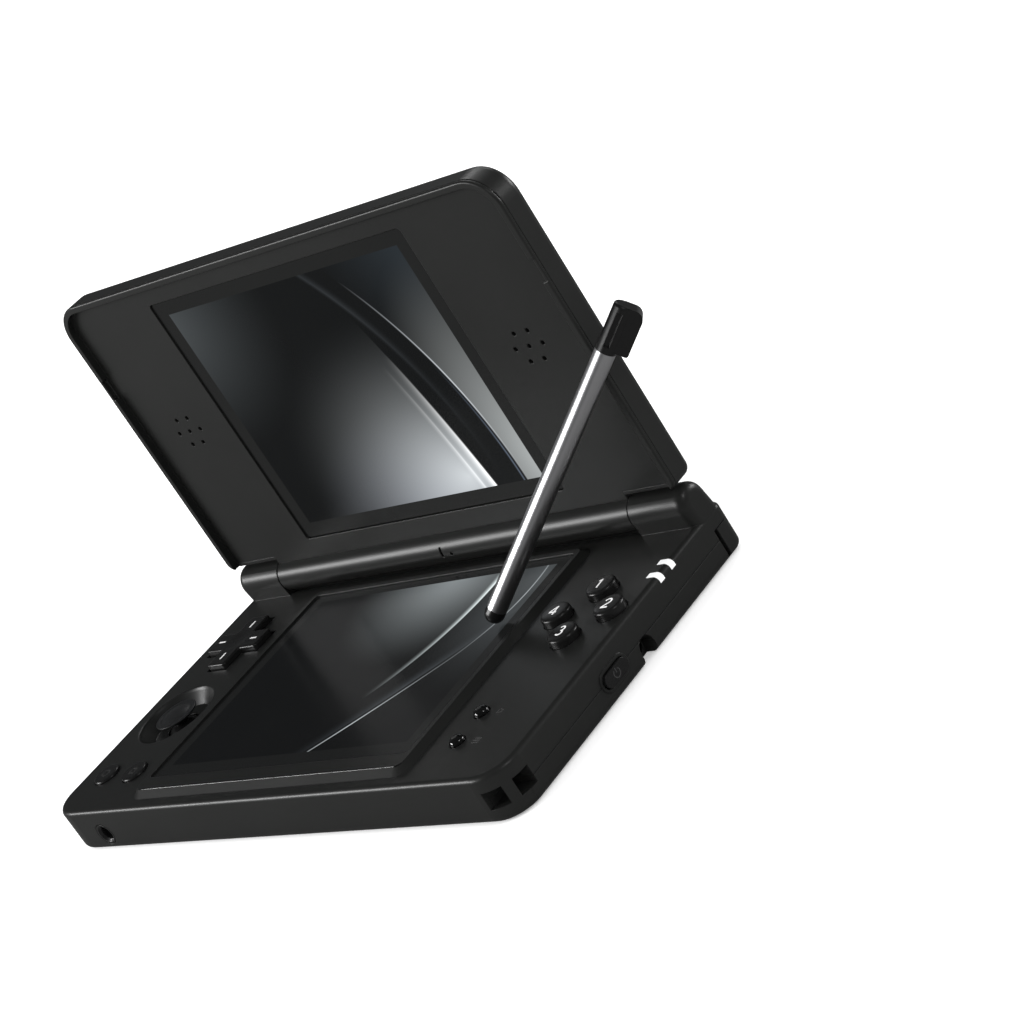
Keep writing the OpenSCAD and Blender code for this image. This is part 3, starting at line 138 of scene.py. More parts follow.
def addLamp(name, place, width, height, watts, aim):
    # an oblong light whose width lies level and which looks at aim
    data = bpy.data.lights.new(name, "AREA")
    data.shape, data.size, data.size_y, data.energy = "RECTANGLE", width, height, watts
    toward = unit(np.array(aim) - np.array(place))
    side = unit(np.cross(toward, (0.0, 0.0, 1.0)))
    addObject(name, data).matrix_world = standing(side, np.cross(side, toward), -toward, place)


def addSky(setup):
    # a white room, darker where a glossy surface looks into it
    world = bpy.data.worlds.new("studioSky")
    world.use_nodes = True
    tree = world.node_tree
    bright, dim = tree.nodes["Background"], tree.nodes.new("ShaderNodeBackground")
    for light, use in ((bright, "sky"), (dim, "mirror")):
        light.inputs["Color"].default_value = (*setup[use + "Colour"], 1.0)
        light.inputs["Strength"].default_value = setup[use + "Strength"]
    path, mix = tree.nodes.new("ShaderNodeLightPath"), tree.nodes.new("ShaderNodeMixShader")
    tree.links.new(path.outputs["Is Glossy Ray"], mix.inputs["Fac"])
    tree.links.new(bright.outputs["Background"], mix.inputs[1])
    tree.links.new(dim.outputs["Background"], mix.inputs[2])
    tree.links.new(mix.outputs["Shader"], tree.nodes["World Output"].inputs["Surface"])
    sceneData.world = world


def floorPaint(setup):
    # pale, but dim to glossy rays, with a glow that only the camera sees
    paint, tree, shader = startMaterial("paleFloor")
    shader.inputs["Roughness"].default_value = setup["floorRoughness"]
    shader.inputs["Specular IOR Level"].default_value = 0.0
    shader.inputs["Emission Color"].default_value = (1.0, 1.0, 1.0, 1.0)
    path = addNode(tree, "ShaderNodeLightPath")
    tones = mixedTones(tree, path.outputs["Is Glossy Ray"], setup["floorColour"], setup["floorMirror"])
    glow = calc(tree, "MULTIPLY", path.outputs["Is Camera Ray"], setup["floorGlow"])
    tree.links.new(tones, shader.inputs["Base Color"])
    tree.links.new(glow, shader.inputs["Emission Strength"])
    return paint


def addFloor(setup):
    half = setup["floorSize"] / 2
    corners = [(half * across, half * along, setup["floorLevel"])
               for across, along in ((-1, -1), (1, -1), (1, 1), (-1, 1))]
    mesh = bpy.data.meshes.new("studioFloor")
    mesh.from_pydata(corners, [], [(0, 1, 2, 3)])
    mesh.materials.append(floorPaint(setup))
    floor = addObject("studioFloor", mesh)


addSky(studio)
for lamp in studio["lamps"]:
    addLamp(*lamp, studio["aim"])
addFloor(studio)
print("studio ready")

floatSocket, vectorSocket = "NodeSocketFloat", "NodeSocketVector"
grainNoise = {"fine": {"Detail": 1.0, "Roughness": 0.6}, "slow": {"Detail": 3.0, "Roughness": 0.55}}
# mm over which an arc's outside and the picture's area change from 0 to 1
sideSoftness, pictureSoftness = 0.25, 0.05


def newGroup(name, inputs, outputs):
    # a node group; each input is a label, a socket kind and a first value
    group = bpy.data.node_groups.new(name, "ShaderNodeTree")
    for label, kind, value in inputs:
        socket = group.interface.new_socket(label, in_out="INPUT", socket_type=kind)
        if value is not None:
            socket.default_value = value
    for label in outputs:
        group.interface.new_socket(label, in_out="OUTPUT", socket_type=floatSocket)
    return group, group.nodes.new("NodeGroupInput"), group.nodes.new("NodeGroupOutput")


def placeGroup(tree, group, values):
    return addNode(tree, "ShaderNodeGroup", {"node_tree": group}, values)


def makeGrainGroup():
    # fine moulding grain: small noise for the relief, and a slow patchiness for the gloss, whose
    # roughness is the given one plus the spread times the patchiness less a half
    group, inside, outside = newGroup(
        "mouldedGrain",
        [("Vector", vectorSocket, None), ("Grain Size", floatSocket, 0.00025),
         ("Patch Size", floatSocket, 0.03), ("Roughness", floatSocket, 0.4),
         ("Roughness Spread", floatSocket, 0.06)],
        ["Height", "Roughness", "Patch"])
    fine = addNode(group, "ShaderNodeTexNoise", {}, grainNoise["fine"])
    slow = addNode(group, "ShaderNodeTexNoise", {}, grainNoise["slow"])
    for noise, size in ((fine, "Grain Size"), (slow, "Patch Size")):
        group.links.new(inside.outputs["Vector"], noise.inputs["Vector"])
        group.links.new(calc(group, "DIVIDE", 1.0, inside.outputs[size]), noise.inputs["Scale"])
    centred = calc(group, "SUBTRACT", slow.outputs["Fac"], 0.5)
    drift = calc(group, "MULTIPLY", centred, inside.outputs["Roughness Spread"])
    group.links.new(fine.outputs["Fac"], outside.inputs["Height"])
    group.links.new(calc(group, "ADD", drift, inside.outputs["Roughness"]), outside.inputs["Roughness"])
    group.links.new(slow.outputs["Fac"], outside.inputs["Patch"])
    return group


def makeSpotGroup():
    # a soft elliptical mask for the painted reflection glows: (1 - distance / size) clamped, to a power
    group, inside, outside = newGroup(
        "softGlareSpot",
        [("Across", floatSocket, 0.0), ("Along", floatSocket, 0.0), ("Centre Across", floatSocket, 0.0),
         ("Centre Along", floatSocket, 0.0), ("Size Across", floatSocket, 0.03),
         ("Size Along", floatSocket, 0.03), ("Power", floatSocket, 2.0)],
        ["Mask"])
    squares = []
    for axis in ("Across", "Along"):
        offset = calc(group, "SUBTRACT", inside.outputs[axis], inside.outputs["Centre " + axis])
        share = calc(group, "DIVIDE", offset, inside.outputs["Size " + axis])
        squares.append(calc(group, "MULTIPLY", share, share))
    distance = calc(group, "SQRT", calc(group, "ADD", *squares))
    fall = calc(group, "SUBTRACT", 1.0, distance, clamp=True)
    group.links.new(calc(group, "POWER", fall, inside.outputs["Power"]), outside.inputs["Mask"])
    return group


def makeArcGroup():
    # for the painted reflection streaks, from a circle's signed distance: a ridge along it, which falls
    # over its own width on each side and is squared, and a step that is 1 outside it
    group, inside, outside = newGroup(
        "softGlareArc",
        [("Across", floatSocket, 0.0), ("Along", floatSocket, 0.0), ("Centre Across", floatSocket, 0.0),
         ("Centre Along", floatSocket, 0.0), ("Radius", floatSocket, 0.1),
         ("Inner Width", floatSocket, 0.001), ("Outer Width", floatSocket, 0.001)],
        ["Ridge", "Outside"])
    squares = []
    for axis in ("Across", "Along"):
        offset = calc(group, "SUBTRACT", inside.outputs[axis], inside.outputs["Centre " + axis])
        squares.append(calc(group, "MULTIPLY", offset, offset))
    distance = calc(group, "SQRT", calc(group, "ADD", *squares))
    signed = calc(group, "SUBTRACT", distance, inside.outputs["Radius"])
    outward = calc(group, "DIVIDE", signed, inside.outputs["Outer Width"])
    inward = calc(group, "DIVIDE", signed, inside.outputs["Inner Width"])
    ridge = calc(group, "MULTIPLY", calc(group, "SUBTRACT", 1.0, outward, clamp=True),
                 calc(group, "ADD", 1.0, inward, clamp=True))
    step = calc(group, "MULTIPLY_ADD", signed, 1 / (sideSoftness * mm), 0.5, clamp=True)
    group.links.new(calc(group, "MULTIPLY", ridge, ridge), outside.inputs["Ridge"])
    group.links.new(step, outside.inputs["Outside"])
    return group


def makePictureGroup():
    # 1 inside a rectangle: the distance to its nearest side over the soft width, clamped
    group, inside, outside = newGroup(
        "pictureArea",
        [("Across", floatSocket, 0.0), ("Along", floatSocket, 0.0), ("Centre Along", floatSocket, 0.0),
         ("Half Width", floatSocket, 0.04), ("Half Height", floatSocket, 0.03)],
        ["Mask"])
    masks = []
    along = calc(group, "SUBTRACT", inside.outputs["Along"], inside.outputs["Centre Along"])
    for place, size in ((inside.outputs["Across"], "Half Width"), (along, "Half Height")):
        left = calc(group, "SUBTRACT", inside.outputs[size], calc(group, "ABSOLUTE", place))
        masks.append(calc(group, "MULTIPLY", left, 1 / (pictureSoftness * mm), clamp=True))
    group.links.new(calc(group, "MULTIPLY", *masks), outside.inputs["Mask"])
    return group


grainGroup, spotGroup = makeGrainGroup(), makeSpotGroup()
arcGroup, pictureGroup = makeArcGroup(), makePictureGroup()

# two tones, roughness, size of the grain in metres and strength of its relief; edge is the radius
# by which sharp edges catch light as if rounded
finishes = {
    "caseBlack": {"dark": (0.008, 0.0083, 0.0079), "light": (0.012, 0.0124, 0.0118), "roughness": 0.34,
                  "grain": 0.00022, "bump": 0.2, "edge": 0.0003},
    "buttonBlack": {"dark": (0.005, 0.005, 0.005), "light": (0.008, 0.008, 0.008), "roughness": 0.27,
                    "grain": 0.0003, "bump": 0.08, "edge": 0.0002},
    "glossBlack": {"dark": (0.002, 0.002, 0.002), "light": (0.003, 0.003, 0.003), "roughness": 0.12,
                   "grain": 0.0005, "bump": 0.03, "specular": 0.5, "edge": 0.00015},
    "stickRubber": {"dark": (0.008, 0.0085, 0.009), "light": (0.012, 0.0125, 0.013), "roughness": 0.36,
                    "grain": 0.0002, "bump": 0.2},
    "lensWhite": {"dark": (0.85, 0.86, 0.87), "light": (0.95, 0.95, 0.95), "roughness": 0.3,
                  "grain": 0.0004, "bump": 0.05},
    "markWhite": {"dark": (0.8, 0.8, 0.8), "light": (0.9, 0.9, 0.9), "roughness": 0.5,
                  "grain": 0.0003, "bump": 0.05},
    "markDark": {"dark": (0.02, 0.02, 0.02), "light": (0.03, 0.03, 0.03), "roughness": 0.2,
                 "grain": 0.0003, "bump": 0.05, "specular": 0.6},
    "portMetal": {"dark": (0.3, 0.3, 0.31), "light": (0.4, 0.4, 0.41), "roughness": 0.3,
                  "grain": 0.0003, "bump": 0.1, "metallic": 1.0},
    "screwSteel": {"dark": (0.12, 0.12, 0.125), "light": (0.2, 0.2, 0.2), "roughness": 0.35,
                   "grain": 0.0003, "bump": 0.15, "metallic": 1.0},
    "innerGrey": {"dark": (0.004, 0.004, 0.0042), "light": (0.007, 0.007, 0.0072), "roughness": 0.5,
                  "grain": 0.0003, "bump": 0.2},
    "boardGreen": {"dark": (0.01, 0.06, 0.03), "light": (0.015, 0.09, 0.04), "roughness": 0.4,
                   "grain": 0.001, "bump": 0.2},
    "keyRubber": {"dark": (0.4, 0.4, 0.38), "light": (0.5, 0.5, 0.48), "roughness": 0.6,
                  "grain": 0.0004, "bump": 0.2},
    "displayDark": {"dark": (0.003, 0.003, 0.0035), "light": (0.004, 0.004, 0.0045), "roughness": 0.2,
                    "grain": 0.002, "bump": 0.0},
    "stylusMetal": {"dark": (0.5, 0.5, 0.51), "light": (0.58, 0.58, 0.59), "roughness": 0.32,
                    "grain": 0.0004, "bump": 0.015, "metallic": 1.0, "spread": 0.04},
    "stylusBlack": {"dark": (0.003, 0.003, 0.003), "light": (0.006, 0.006, 0.006), "roughness": 0.3,
                    "grain": 0.0003, "bump": 0.1, "edge": 0.00025},
}
usualLook = {"spread": 0.06, "patch": 0.03, "metallic": 0.0, "specular": 0.3, "edge": 0.0}
grainDepth, edgeSamples = 0.00004, 6    # metres, and rays for a softened edge


def addGrain(tree, shader, look, place):
    # colour drifts between the two tones and gloss varies; gives the grain's height
    grain = placeGroup(tree, grainGroup, {"Grain Size": look["grain"], "Patch Size": look["patch"],
                                          "Roughness": look["roughness"], "Roughness Spread": look["spread"]})
    tones = mixedTones(tree, grain.outputs["Patch"], look["dark"], look["light"])
    tree.links.new(place, grain.inputs["Vector"])
    tree.links.new(tones, shader.inputs["Base Color"])
    tree.links.new(grain.outputs["Roughness"], shader.inputs["Roughness"])
    shader.inputs["Specular IOR Level"].default_value = look["specular"]
    return grain.outputs["Height"]


def grainedSurface(name, chosen):
    # a moulded surface: the grain goes to the bump, over a normal that is softened at the edges
    look = {**usualLook, **chosen}
    material, tree, shader = startMaterial(name)
    place = addNode(tree, "ShaderNodeTexCoord").outputs["Object"]
    height = addGrain(tree, shader, look, place)
    relief = addNode(tree, "ShaderNodeBump", {}, {"Strength": look["bump"], "Distance": grainDepth})
    tree.links.new(height, relief.inputs["Height"])
    if look["edge"] > 0.0:
        soft = addNode(tree, "ShaderNodeBevel", {"samples": edgeSamples}, {"Radius": look["edge"]})
        tree.links.new(soft.outputs["Normal"], relief.inputs["Normal"])
    tree.links.new(relief.outputs["Normal"], shader.inputs["Normal"])
    shader.inputs["Metallic"].default_value = look["metallic"]
    return material


# places and sizes in mm, in the model's own coordinates on the plane of the glass
# the upper screen's dark picture, with glows and curved streaks of painted reflection glare on it
upperPictureGlare = {
    "axes": ("X", "Z"), "centreAlong": 62.05, "halfWidth": 42.6, "halfHeight": 31.95,
    "base": (0.0015, 0.0019, 0.0021), "border": (0.011, 0.0112, 0.0108),
    # painted reflection glows: centre, size, power, colour, strength, arc that bounds it and whether it lies
    # outside that arc
    "glareSpots": [
        ((-50, 92), (44, 40), 1.6, (0.85, 0.95, 1.0), 0.085, None),
        ((20, 34), (60, 50), 2.6, (0.93, 0.98, 1.0), 0.64, ("rim", False)),
        ((8, 26), (44, 32), 1.6, (0.76, 0.82, 1.0), 0.15, ("rim", False)),
        ((46, 34), (34, 60), 1.7, (0.95, 1.0, 1.0), 0.5, ("line", True)),
        ((44, 95), (30, 30), 1.4, (0.6, 0.8, 1.0), 0.03, ("line", True)),
    ],
    # painted reflection streaks: name, centre, radius, inner and outer width, colour, strength, fade centre
    # and size
    "glareArcs": [
        ("rim", (-292.9, -16.6), 323.1, (2.6, 0.5), (1.0, 1.0, 1.0), 1.2, (33, 28), (44, 44)),
        ("rimInner", (-292.9, -16.6), 319.4, (1.6, 0.7), (1.0, 1.0, 1.0), 0.5, (30, 34), (36, 36)),
        ("line", (-64.9, 30.7), 102.2, (0.5, 0.4), (0.9, 0.95, 1.0), 0.9, (30, 58), (34, 34)),
        ("lineLow", (-64.9, 30.7), 101.2, (0.5, 0.5), (0.6, 0.75, 1.0), 0.25, (40, 36), (30, 30)),
        ("edge", (-66.1, 31.9), 96.4, (1.2, 2.4), (0.8, 0.9, 1.0), 0.03, (10, 85), (60, 60)),
    ],
}
# the lower screen's dark picture, with painted reflection glare laid out the same way
lowerPictureGlare = {
    "axes": ("X", "Y"), "centreAlong": -2.1, "halfWidth": 42.6, "halfHeight": 31.1,
    "base": (0.001, 0.0012, 0.0014), "border": (0.006, 0.0062, 0.006),
    "glareSpots": [
        ((8, 32), (36, 36), 1.7, (0.88, 0.97, 1.0), 0.3, ("sweep", False)),
        ((40, 26), (26, 44), 1.5, (0.85, 0.95, 1.0), 0.075, ("sweep", True)),
    ],
    "glareArcs": [
        ("sweep", (-44.8, 25.3), 69.7, (2.2, 0.5), (0.9, 1.0, 1.0), 1.1, (27, 24), (34, 44)),
        ("line", (-258.7, 208.0), 360.1, (0.6, 0.35), (0.9, 0.97, 1.0), 0.85, (16, -24), (31, 33)),
        ("lineTop", (-5.0, 21.6), 45.3, (0.6, 0.35), (0.9, 0.97, 1.0), 0.5, (40, 18), (22, 31)),
        ("low", (-258.7, 208.0), 358.6, (4.0, 0.8), (0.7, 0.8, 0.9), 0.05, (24, -12), (40, 40)),
    ],
}
# cover glass of both screens; glow is the emission strength of the picture with its painted reflection glare
coverGlass = {
    "dark": (0.003, 0.0032, 0.0033), "light": (0.005, 0.0052, 0.0053), "roughness": 0.2, "spread": 0.04,
    "grain": 0.002, "patch": 0.05, "specular": 0.05, "glow": 1.0, "arcFade": 1.3,
}


def inGlass(tree, group, axes, sizes):
    # a shape group on the two coordinates that lie in the glass, with its sizes in millimetres
    node = placeGroup(tree, group, {label: size * mm for label, size in sizes.items()})
    tree.links.new(axes[0], node.inputs["Across"])
    tree.links.new(axes[1], node.inputs["Along"])
    return node


def spotMask(tree, axes, centre, size, power):
    # one soft painted reflection glow in the glass
    spot = inGlass(tree, spotGroup, axes, {"Centre Across": centre[0], "Centre Along": centre[1],
                                           "Size Across": size[0], "Size Along": size[1]})
    spot.inputs["Power"].default_value = power
    return spot.outputs["Mask"]


def screenGlareLights(tree, picture, axes):
    # mask, colour and strength of each curved streak of painted reflection, which fades away from one
    # place, and of each painted reflection glow, which an arc may cut off on one side
    lights, beyond = [], {}
    for label, centre, radius, widths, colour, strength, fadeCentre, fadeSize in picture["glareArcs"]:
        arc = inGlass(tree, arcGroup, axes, {"Centre Across": centre[0], "Centre Along": centre[1],
                                             "Radius": radius, "Inner Width": widths[0],
                                             "Outer Width": widths[1]})
        beyond[label] = arc.outputs["Outside"]
        fade = spotMask(tree, axes, fadeCentre, fadeSize, coverGlass["arcFade"])
        lights.append((calc(tree, "MULTIPLY", arc.outputs["Ridge"], fade), colour, strength))
    for centre, size, power, colour, strength, bound in picture["glareSpots"]:
        mask = spotMask(tree, axes, centre, size, power)
        if bound:
            label, isOutside = bound
            side = beyond[label] if isOutside else calc(tree, "SUBTRACT", 1.0, beyond[label])
            mask = calc(tree, "MULTIPLY", mask, side)
        lights.append((mask, colour, strength))
    return lights


def summedGlareLights(tree, base, lights):
    # the base colour plus each painted glare light's colour times its mask and strength
    total = base
    for mask, colour, strength in lights:
        scaled = addNode(tree, "ShaderNodeVectorMath", {"operation": "SCALE"}, {0: colour})
        tree.links.new(calc(tree, "MULTIPLY", mask, strength), scaled.inputs["Scale"])
        summed = addNode(tree, "ShaderNodeVectorMath", {"operation": "ADD"})
        feed(tree, total, summed.inputs[0])
        tree.links.new(scaled.outputs[0], summed.inputs[1])
        total = summed.outputs[0]
    return total


def screenMaterial(name, picture):
    # dark cover glass over a glowing picture, whose soft glows and thin curved lights are painted reflection
    # glare, with a plain border
    material, tree, shader = startMaterial(name)
    place = addNode(tree, "ShaderNodeTexCoord").outputs["Object"]
    split = addNode(tree, "ShaderNodeSeparateXYZ")
    tree.links.new(place, split.inputs[0])
    axes = [split.outputs[axis] for axis in picture["axes"]]
    area = inGlass(tree, pictureGroup, axes, {"Centre Along": picture["centreAlong"],
                                              "Half Width": picture["halfWidth"],
                                              "Half Height": picture["halfHeight"]})
    shown = addNode(tree, "ShaderNodeMix", {"data_type": "RGBA"}, {"A": (*picture["border"], 1.0)})
    tree.links.new(area.outputs["Mask"], shown.inputs["Factor"])
    tree.links.new(summedGlareLights(tree, picture["base"], screenGlareLights(tree, picture, axes)), shown.inputs["B"])
    tree.links.new(shown.outputs["Result"], shader.inputs["Emission Color"])
    shader.inputs["Emission Strength"].default_value = coverGlass["glow"]
    addGrain(tree, shader, coverGlass, place)
    return material


finish = {name: grainedSurface(name, chosen) for name, chosen in finishes.items()}
# both screens emit their picture with painted reflection glare
finish["upperScreen"] = screenMaterial("upperScreen", upperPictureGlare)
finish["lowerScreen"] = screenMaterial("lowerScreen", lowerPictureGlare)
print("materials ready")

closingRadius = 0.05    # mm, of the small ring from which a turned shape is closed


def closedPiece(name, rings, body, material, replaced=(), sharpAngle=38.0):
    # rings is rows x columns x 3 in millimetres: each row a closed outline, and each end
    # closed to the middle of its row; the sign of the volume turns the faces outwards
    rows, columns = rings.shape[:2]
    ends = np.array([rings[0].mean(axis=0), rings[-1].mean(axis=0)])
    points = np.concatenate([rings.reshape(-1, 3), ends]) * mm
    index = np.arange(rows * columns).reshape(rows, columns)
    after = np.roll(index, -1, axis=1)
    sides = np.stack([index[:-1], after[:-1], after[1:], index[1:]], axis=-1).reshape(-1, 4)
    low = np.stack([after[0], index[0], np.full(columns, rows * columns)], axis=-1)
    top = np.stack([index[-1], after[-1], np.full(columns, rows * columns + 1)], axis=-1)
    corners = points[np.concatenate([sides[:, :3], sides[:, [0, 2, 3]], low, top])]
    volume = np.einsum("ij,ij->i", corners[:, 0], np.cross(corners[:, 1], corners[:, 2])).sum()
    step = 1 if volume > 0 else -1
    faces = [face[::step] for face in sides.tolist() + low.tolist() + top.tolist()]
    mesh = bpy.data.meshes.new(name)
    mesh.from_pydata(points.tolist(), [], faces)
    mesh.polygons.foreach_set("use_smooth", np.ones(len(faces), bool))
    mesh.set_sharp_from_angle(angle=math.radians(sharpAngle))
    mesh.update()
    mesh.materials.append(material)
    piece = addObject(name, mesh)
    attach(piece, body)
    if replaced:
        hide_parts(*replaced)


def turnedRings(centre, profile, columns=64):
    # a profile of radius and height, carried round an upright line
    turn = np.linspace(0, 2 * np.pi, columns, endpoint=False)
    radius, height = profile[:, :1], profile[:, 1:]
    return np.stack([centre[0] + radius * np.cos(turn), centre[1] + radius * np.sin(turn),
                     height + 0 * turn], axis=-1)


def quarter(radius, height, size, steps=7):
    # a quarter circle in from the side to the top: corner at (radius, height)
    turn = np.linspace(0, np.pi / 2, steps)
    return np.stack([radius - size + size * np.cos(turn), height - size + size * np.sin(turn)], axis=1)


# sizes of this and the next pieces are in mm
faceButtons = {
    "centre": (66.5, 7.7), "offset": 8.2, "radius": 3.75, "top": 14.3, "edge": 0.75, "crown": 0.14,
    "crownRows": 10, "flangeRadius": 4.15, "flangeLow": 9.55, "flangeTop": 10.35,
}
compass = {"north": (0, 1), "east": (1, 0), "south": (0, -1), "west": (-1, 0)}


def crownHeight(setup, distance):
    # height of a crowned top at a distance from its centre: a parabola that drops by crown at the rim
    return setup["top"] - setup["crown"] * (distance / (setup["radius"] - setup["edge"])) ** 2


def buttonProfile(setup):
    # flange, straight side, rounded shoulder, then the crown down to a small closing ring
    inner = setup["radius"] - setup["edge"]
    shoulder = quarter(setup["radius"], setup["top"] - setup["crown"], setup["edge"])
    distance = np.linspace(inner, closingRadius, setup["crownRows"])[1:]
    crown = np.stack([distance, crownHeight(setup, distance)], axis=1)
    flange = np.array([[closingRadius, setup["flangeLow"]], [setup["flangeRadius"], setup["flangeLow"]],
                       [setup["flangeRadius"], setup["flangeTop"]], [setup["radius"], setup["flangeTop"]]])
    return np.concatenate([flange, shoulder, crown])


def offCentre(setup, place, distance):
    # a point at a distance from a control's centre, towards one of the four sides
    return (setup["centre"][0] + distance * place[0], setup["centre"][1] + distance * place[1])


for side, place in compass.items():
    centre = offCentre(faceButtons, place, faceButtons["offset"])
    closedPiece("crown_" + side, turnedRings(centre, buttonProfile(faceButtons)),
                "button_" + side, finish["buttonBlack"], ["button_" + side])

directionPad = {
    "centre": (-65.0, 16.6), "span": 20.0, "arm": 7.0, "top": 13.5, "corner": 0.9, "fillet": 0.45,
    "sharpest": 0.02, "edge": 0.55, "flangeRadius": 11.0, "flangeLow": 8.7, "flangeTop": 9.5,
    "dishRadius": 26.0, "dishDepth": 0.3, "edgeRows": 6, "topRows": 22, "lastShare": 0.01,
}


def crossOutline(setup, inset, perCorner=6):
    # a cross whose eight tips are rounded outwards and whose four inner corners are filled;
    # inset moves the whole outline in by one distance
    half, arm = setup["span"] / 2 - inset, setup["arm"] / 2 - inset
    corner, fillet = max(setup["corner"] - inset, setup["sharpest"]), setup["fillet"] + inset
    turn = np.linspace(0, np.pi / 2, perCorner)
    low = np.stack([half - corner + corner * np.sin(turn), -arm + corner - corner * np.cos(turn)], axis=1)
    high = np.stack([half - corner + corner * np.cos(turn), arm - corner + corner * np.sin(turn)], axis=1)
    hollow = np.stack([arm + fillet - fillet * np.sin(turn), arm + fillet - fillet * np.cos(turn)], axis=1)
    turned = [np.concatenate([low, high, hollow])]
    for _ in range(3):
        last = turned[-1]
        turned.append(np.stack([-last[:, 1], last[:, 0]], axis=1))
    return np.concatenate(turned)


def padHeight(setup, across, along):
    # flat top with a shallow dish in its middle: the lower side of a ball, up to the top
    radius = setup["dishRadius"]
    drop = np.sqrt(radius ** 2 - np.minimum(across ** 2 + along ** 2, radius ** 2))
    return np.minimum(setup["top"] + radius - setup["dishDepth"] - drop, setup["top"])


def padRings(setup):
    # flange disc, straight sides, rounded edge, and the dished top, whose arms shorten towards
    # the middle, where the rows become round
    outline, inner = crossOutline(setup, 0.0), crossOutline(setup, setup["edge"])
    circle = outline / np.linalg.norm(outline, axis=1, keepdims=True)
    middle = circle * np.linalg.norm(inner, axis=1).min()
    rows = []

    def addRow(flat, height):
        heights = np.broadcast_to(np.reshape(height, (-1, 1)), (len(flat), 1))
        rows.append(np.concatenate([flat, heights], axis=1))

    addRow(circle * closingRadius, setup["flangeLow"])
    addRow(circle * setup["flangeRadius"], setup["flangeLow"])
    addRow(circle * setup["flangeRadius"], setup["flangeTop"])
    addRow(outline, setup["flangeTop"])
    for angle in np.linspace(0, np.pi / 2, setup["edgeRows"]):
        inset, drop = setup["edge"] * (1 - math.cos(angle)), setup["edge"] * (1 - math.sin(angle))
        addRow(crossOutline(setup, inset), setup["top"] - drop)
    for share in np.linspace(1.0, setup["lastShare"], setup["topRows"])[1:]:
        flat = inner * share * share + middle * share * (1 - share)
        addRow(flat, padHeight(setup, flat[:, 0], flat[:, 1]))
    rings = np.array(rows)
    rings[:, :, :2] += setup["centre"]
    return rings


closedPiece("cross_pad", padRings(directionPad), "direction_pad", finish["buttonBlack"],
            ["direction_pad"])

stickCap = {
    "centre": (-64.9, -10.8), "radius": 5.8, "low": 11.3, "top": 12.8, "columns": 96,
    # share of the radius, share of the height, from the underside to the middle of the face
    "profile": [(0.01, 0.0), (0.3, 0.0), (0.6, 0.02), (0.86, 0.1), (0.95, 0.2), (0.99, 0.33), (1.0, 0.46),
                (0.99, 0.54), (0.96, 0.6), (0.92, 0.62), (0.88, 0.6), (0.84, 0.56), (0.8, 0.53), (0.75, 0.53),
                (0.69, 0.58), (0.61, 0.68), (0.5, 0.8), (0.36, 0.91), (0.2, 0.975), (0.08, 1.0), (0.01, 1.0)],
}


def softProfile(rough, steps=5):
    # the rough profile smoothed by Hermite cubics that pass through its points; the slope at a
    # point is half the step from the point before it to the one after it
    before = np.concatenate([rough[:1], rough[:-1]])
    following = np.concatenate([rough[1:], rough[-1:]])
    slope = (following - before) / 2
    share = np.linspace(0, 1, steps, endpoint=False)[None, :, None]
    start, end = rough[:-1, None], rough[1:, None]
    startSlope, endSlope = slope[:-1, None], slope[1:, None]
    curve = ((2 * share ** 3 - 3 * share ** 2 + 1) * start
             + (share ** 3 - 2 * share ** 2 + share) * startSlope
             + (3 * share ** 2 - 2 * share ** 3) * end + (share ** 3 - share ** 2) * endSlope)
    return np.concatenate([curve.reshape(-1, 2), rough[-1:]])


def capProfile(setup):
    # the smoothed shares, times the radius and the height
    shares = softProfile(np.array(setup["profile"]))
    height = setup["top"] - setup["low"]
    return np.stack([shares[:, 0] * setup["radius"], setup["low"] + shares[:, 1] * height], axis=1)


capRings = turnedRings(stickCap["centre"], capProfile(stickCap), stickCap["columns"])
closedPiece("stick_face", capRings, "thumb_stick", finish["stickRubber"], ["stick_cap"],
            sharpAngle=60.0)
print("controls shaped")


def arcStroke(centre, size, first, last, step=15):
    # points every step degrees along an ellipse about centre, from the first angle to the last
    turn = np.radians(np.linspace(first, last, round(abs(last - first) / step) + 1))
    return np.stack([centre[0] + size[0] * np.cos(turn), centre[1] + size[1] * np.sin(turn)], axis=1)


# symbols as strokes of points, in millimetres about their own middle
symbols = {
    "one": [[(-0.75, 1.0), (0.1, 1.7), (0.1, -1.7)]],
    "two": [[*arcStroke((0, 0.7), (1.0, 1.0), 165, -45), (-1.1, -1.7)], [(-1.15, -1.7), (1.15, -1.7)]],
    "three": [arcStroke((0, 0.85), (0.85, 0.85), 150, -90), arcStroke((0, -0.8), (0.95, 0.9), 82, -143)],
    "four": [[(0.55, -1.7), (0.55, 1.7)], [(0.55, 1.7), (-1.15, -0.65)], [(-1.3, -0.7), (1.25, -0.7)]],
    "dash": [[(-1.25, 0), (1.25, 0)]],
    "dashUp": [[(0, -1.25), (0, 1.25)]],
    "arrow": [[(-0.8, 0.9), (0.9, 0)], [(0.9, 0), (-0.8, -0.9)], [(-0.8, -0.95), (-0.8, 0.95)]],
    "bars": [[(-1.1, 0.7), (1.1, 0.7)], [(-1.1, 0), (1.1, 0)], [(-1.1, -0.7), (1.1, -0.7)]],
    "ring": [arcStroke((0, 0), (1.1, 1.1), 0, 360)],
    "square": [[(-0.9, 0.9), (0.9, 0.9)], [(0.9, 1.05), (0.9, -1.05)], [(0.9, -0.9), (-0.9, -0.9)],
               [(-0.9, -1.05), (-0.9, 1.05)]],
    "power": [arcStroke((0, 0), (1.05, 1.05), 125, 410), [(0, 0.1), (0, 1.25)]],
    "plus": [[(-0.8, 0), (0.8, 0)], [(0, -0.8), (0, 0.8)]],
    "minus": [[(-0.8, 0), (0.8, 0)]],
}
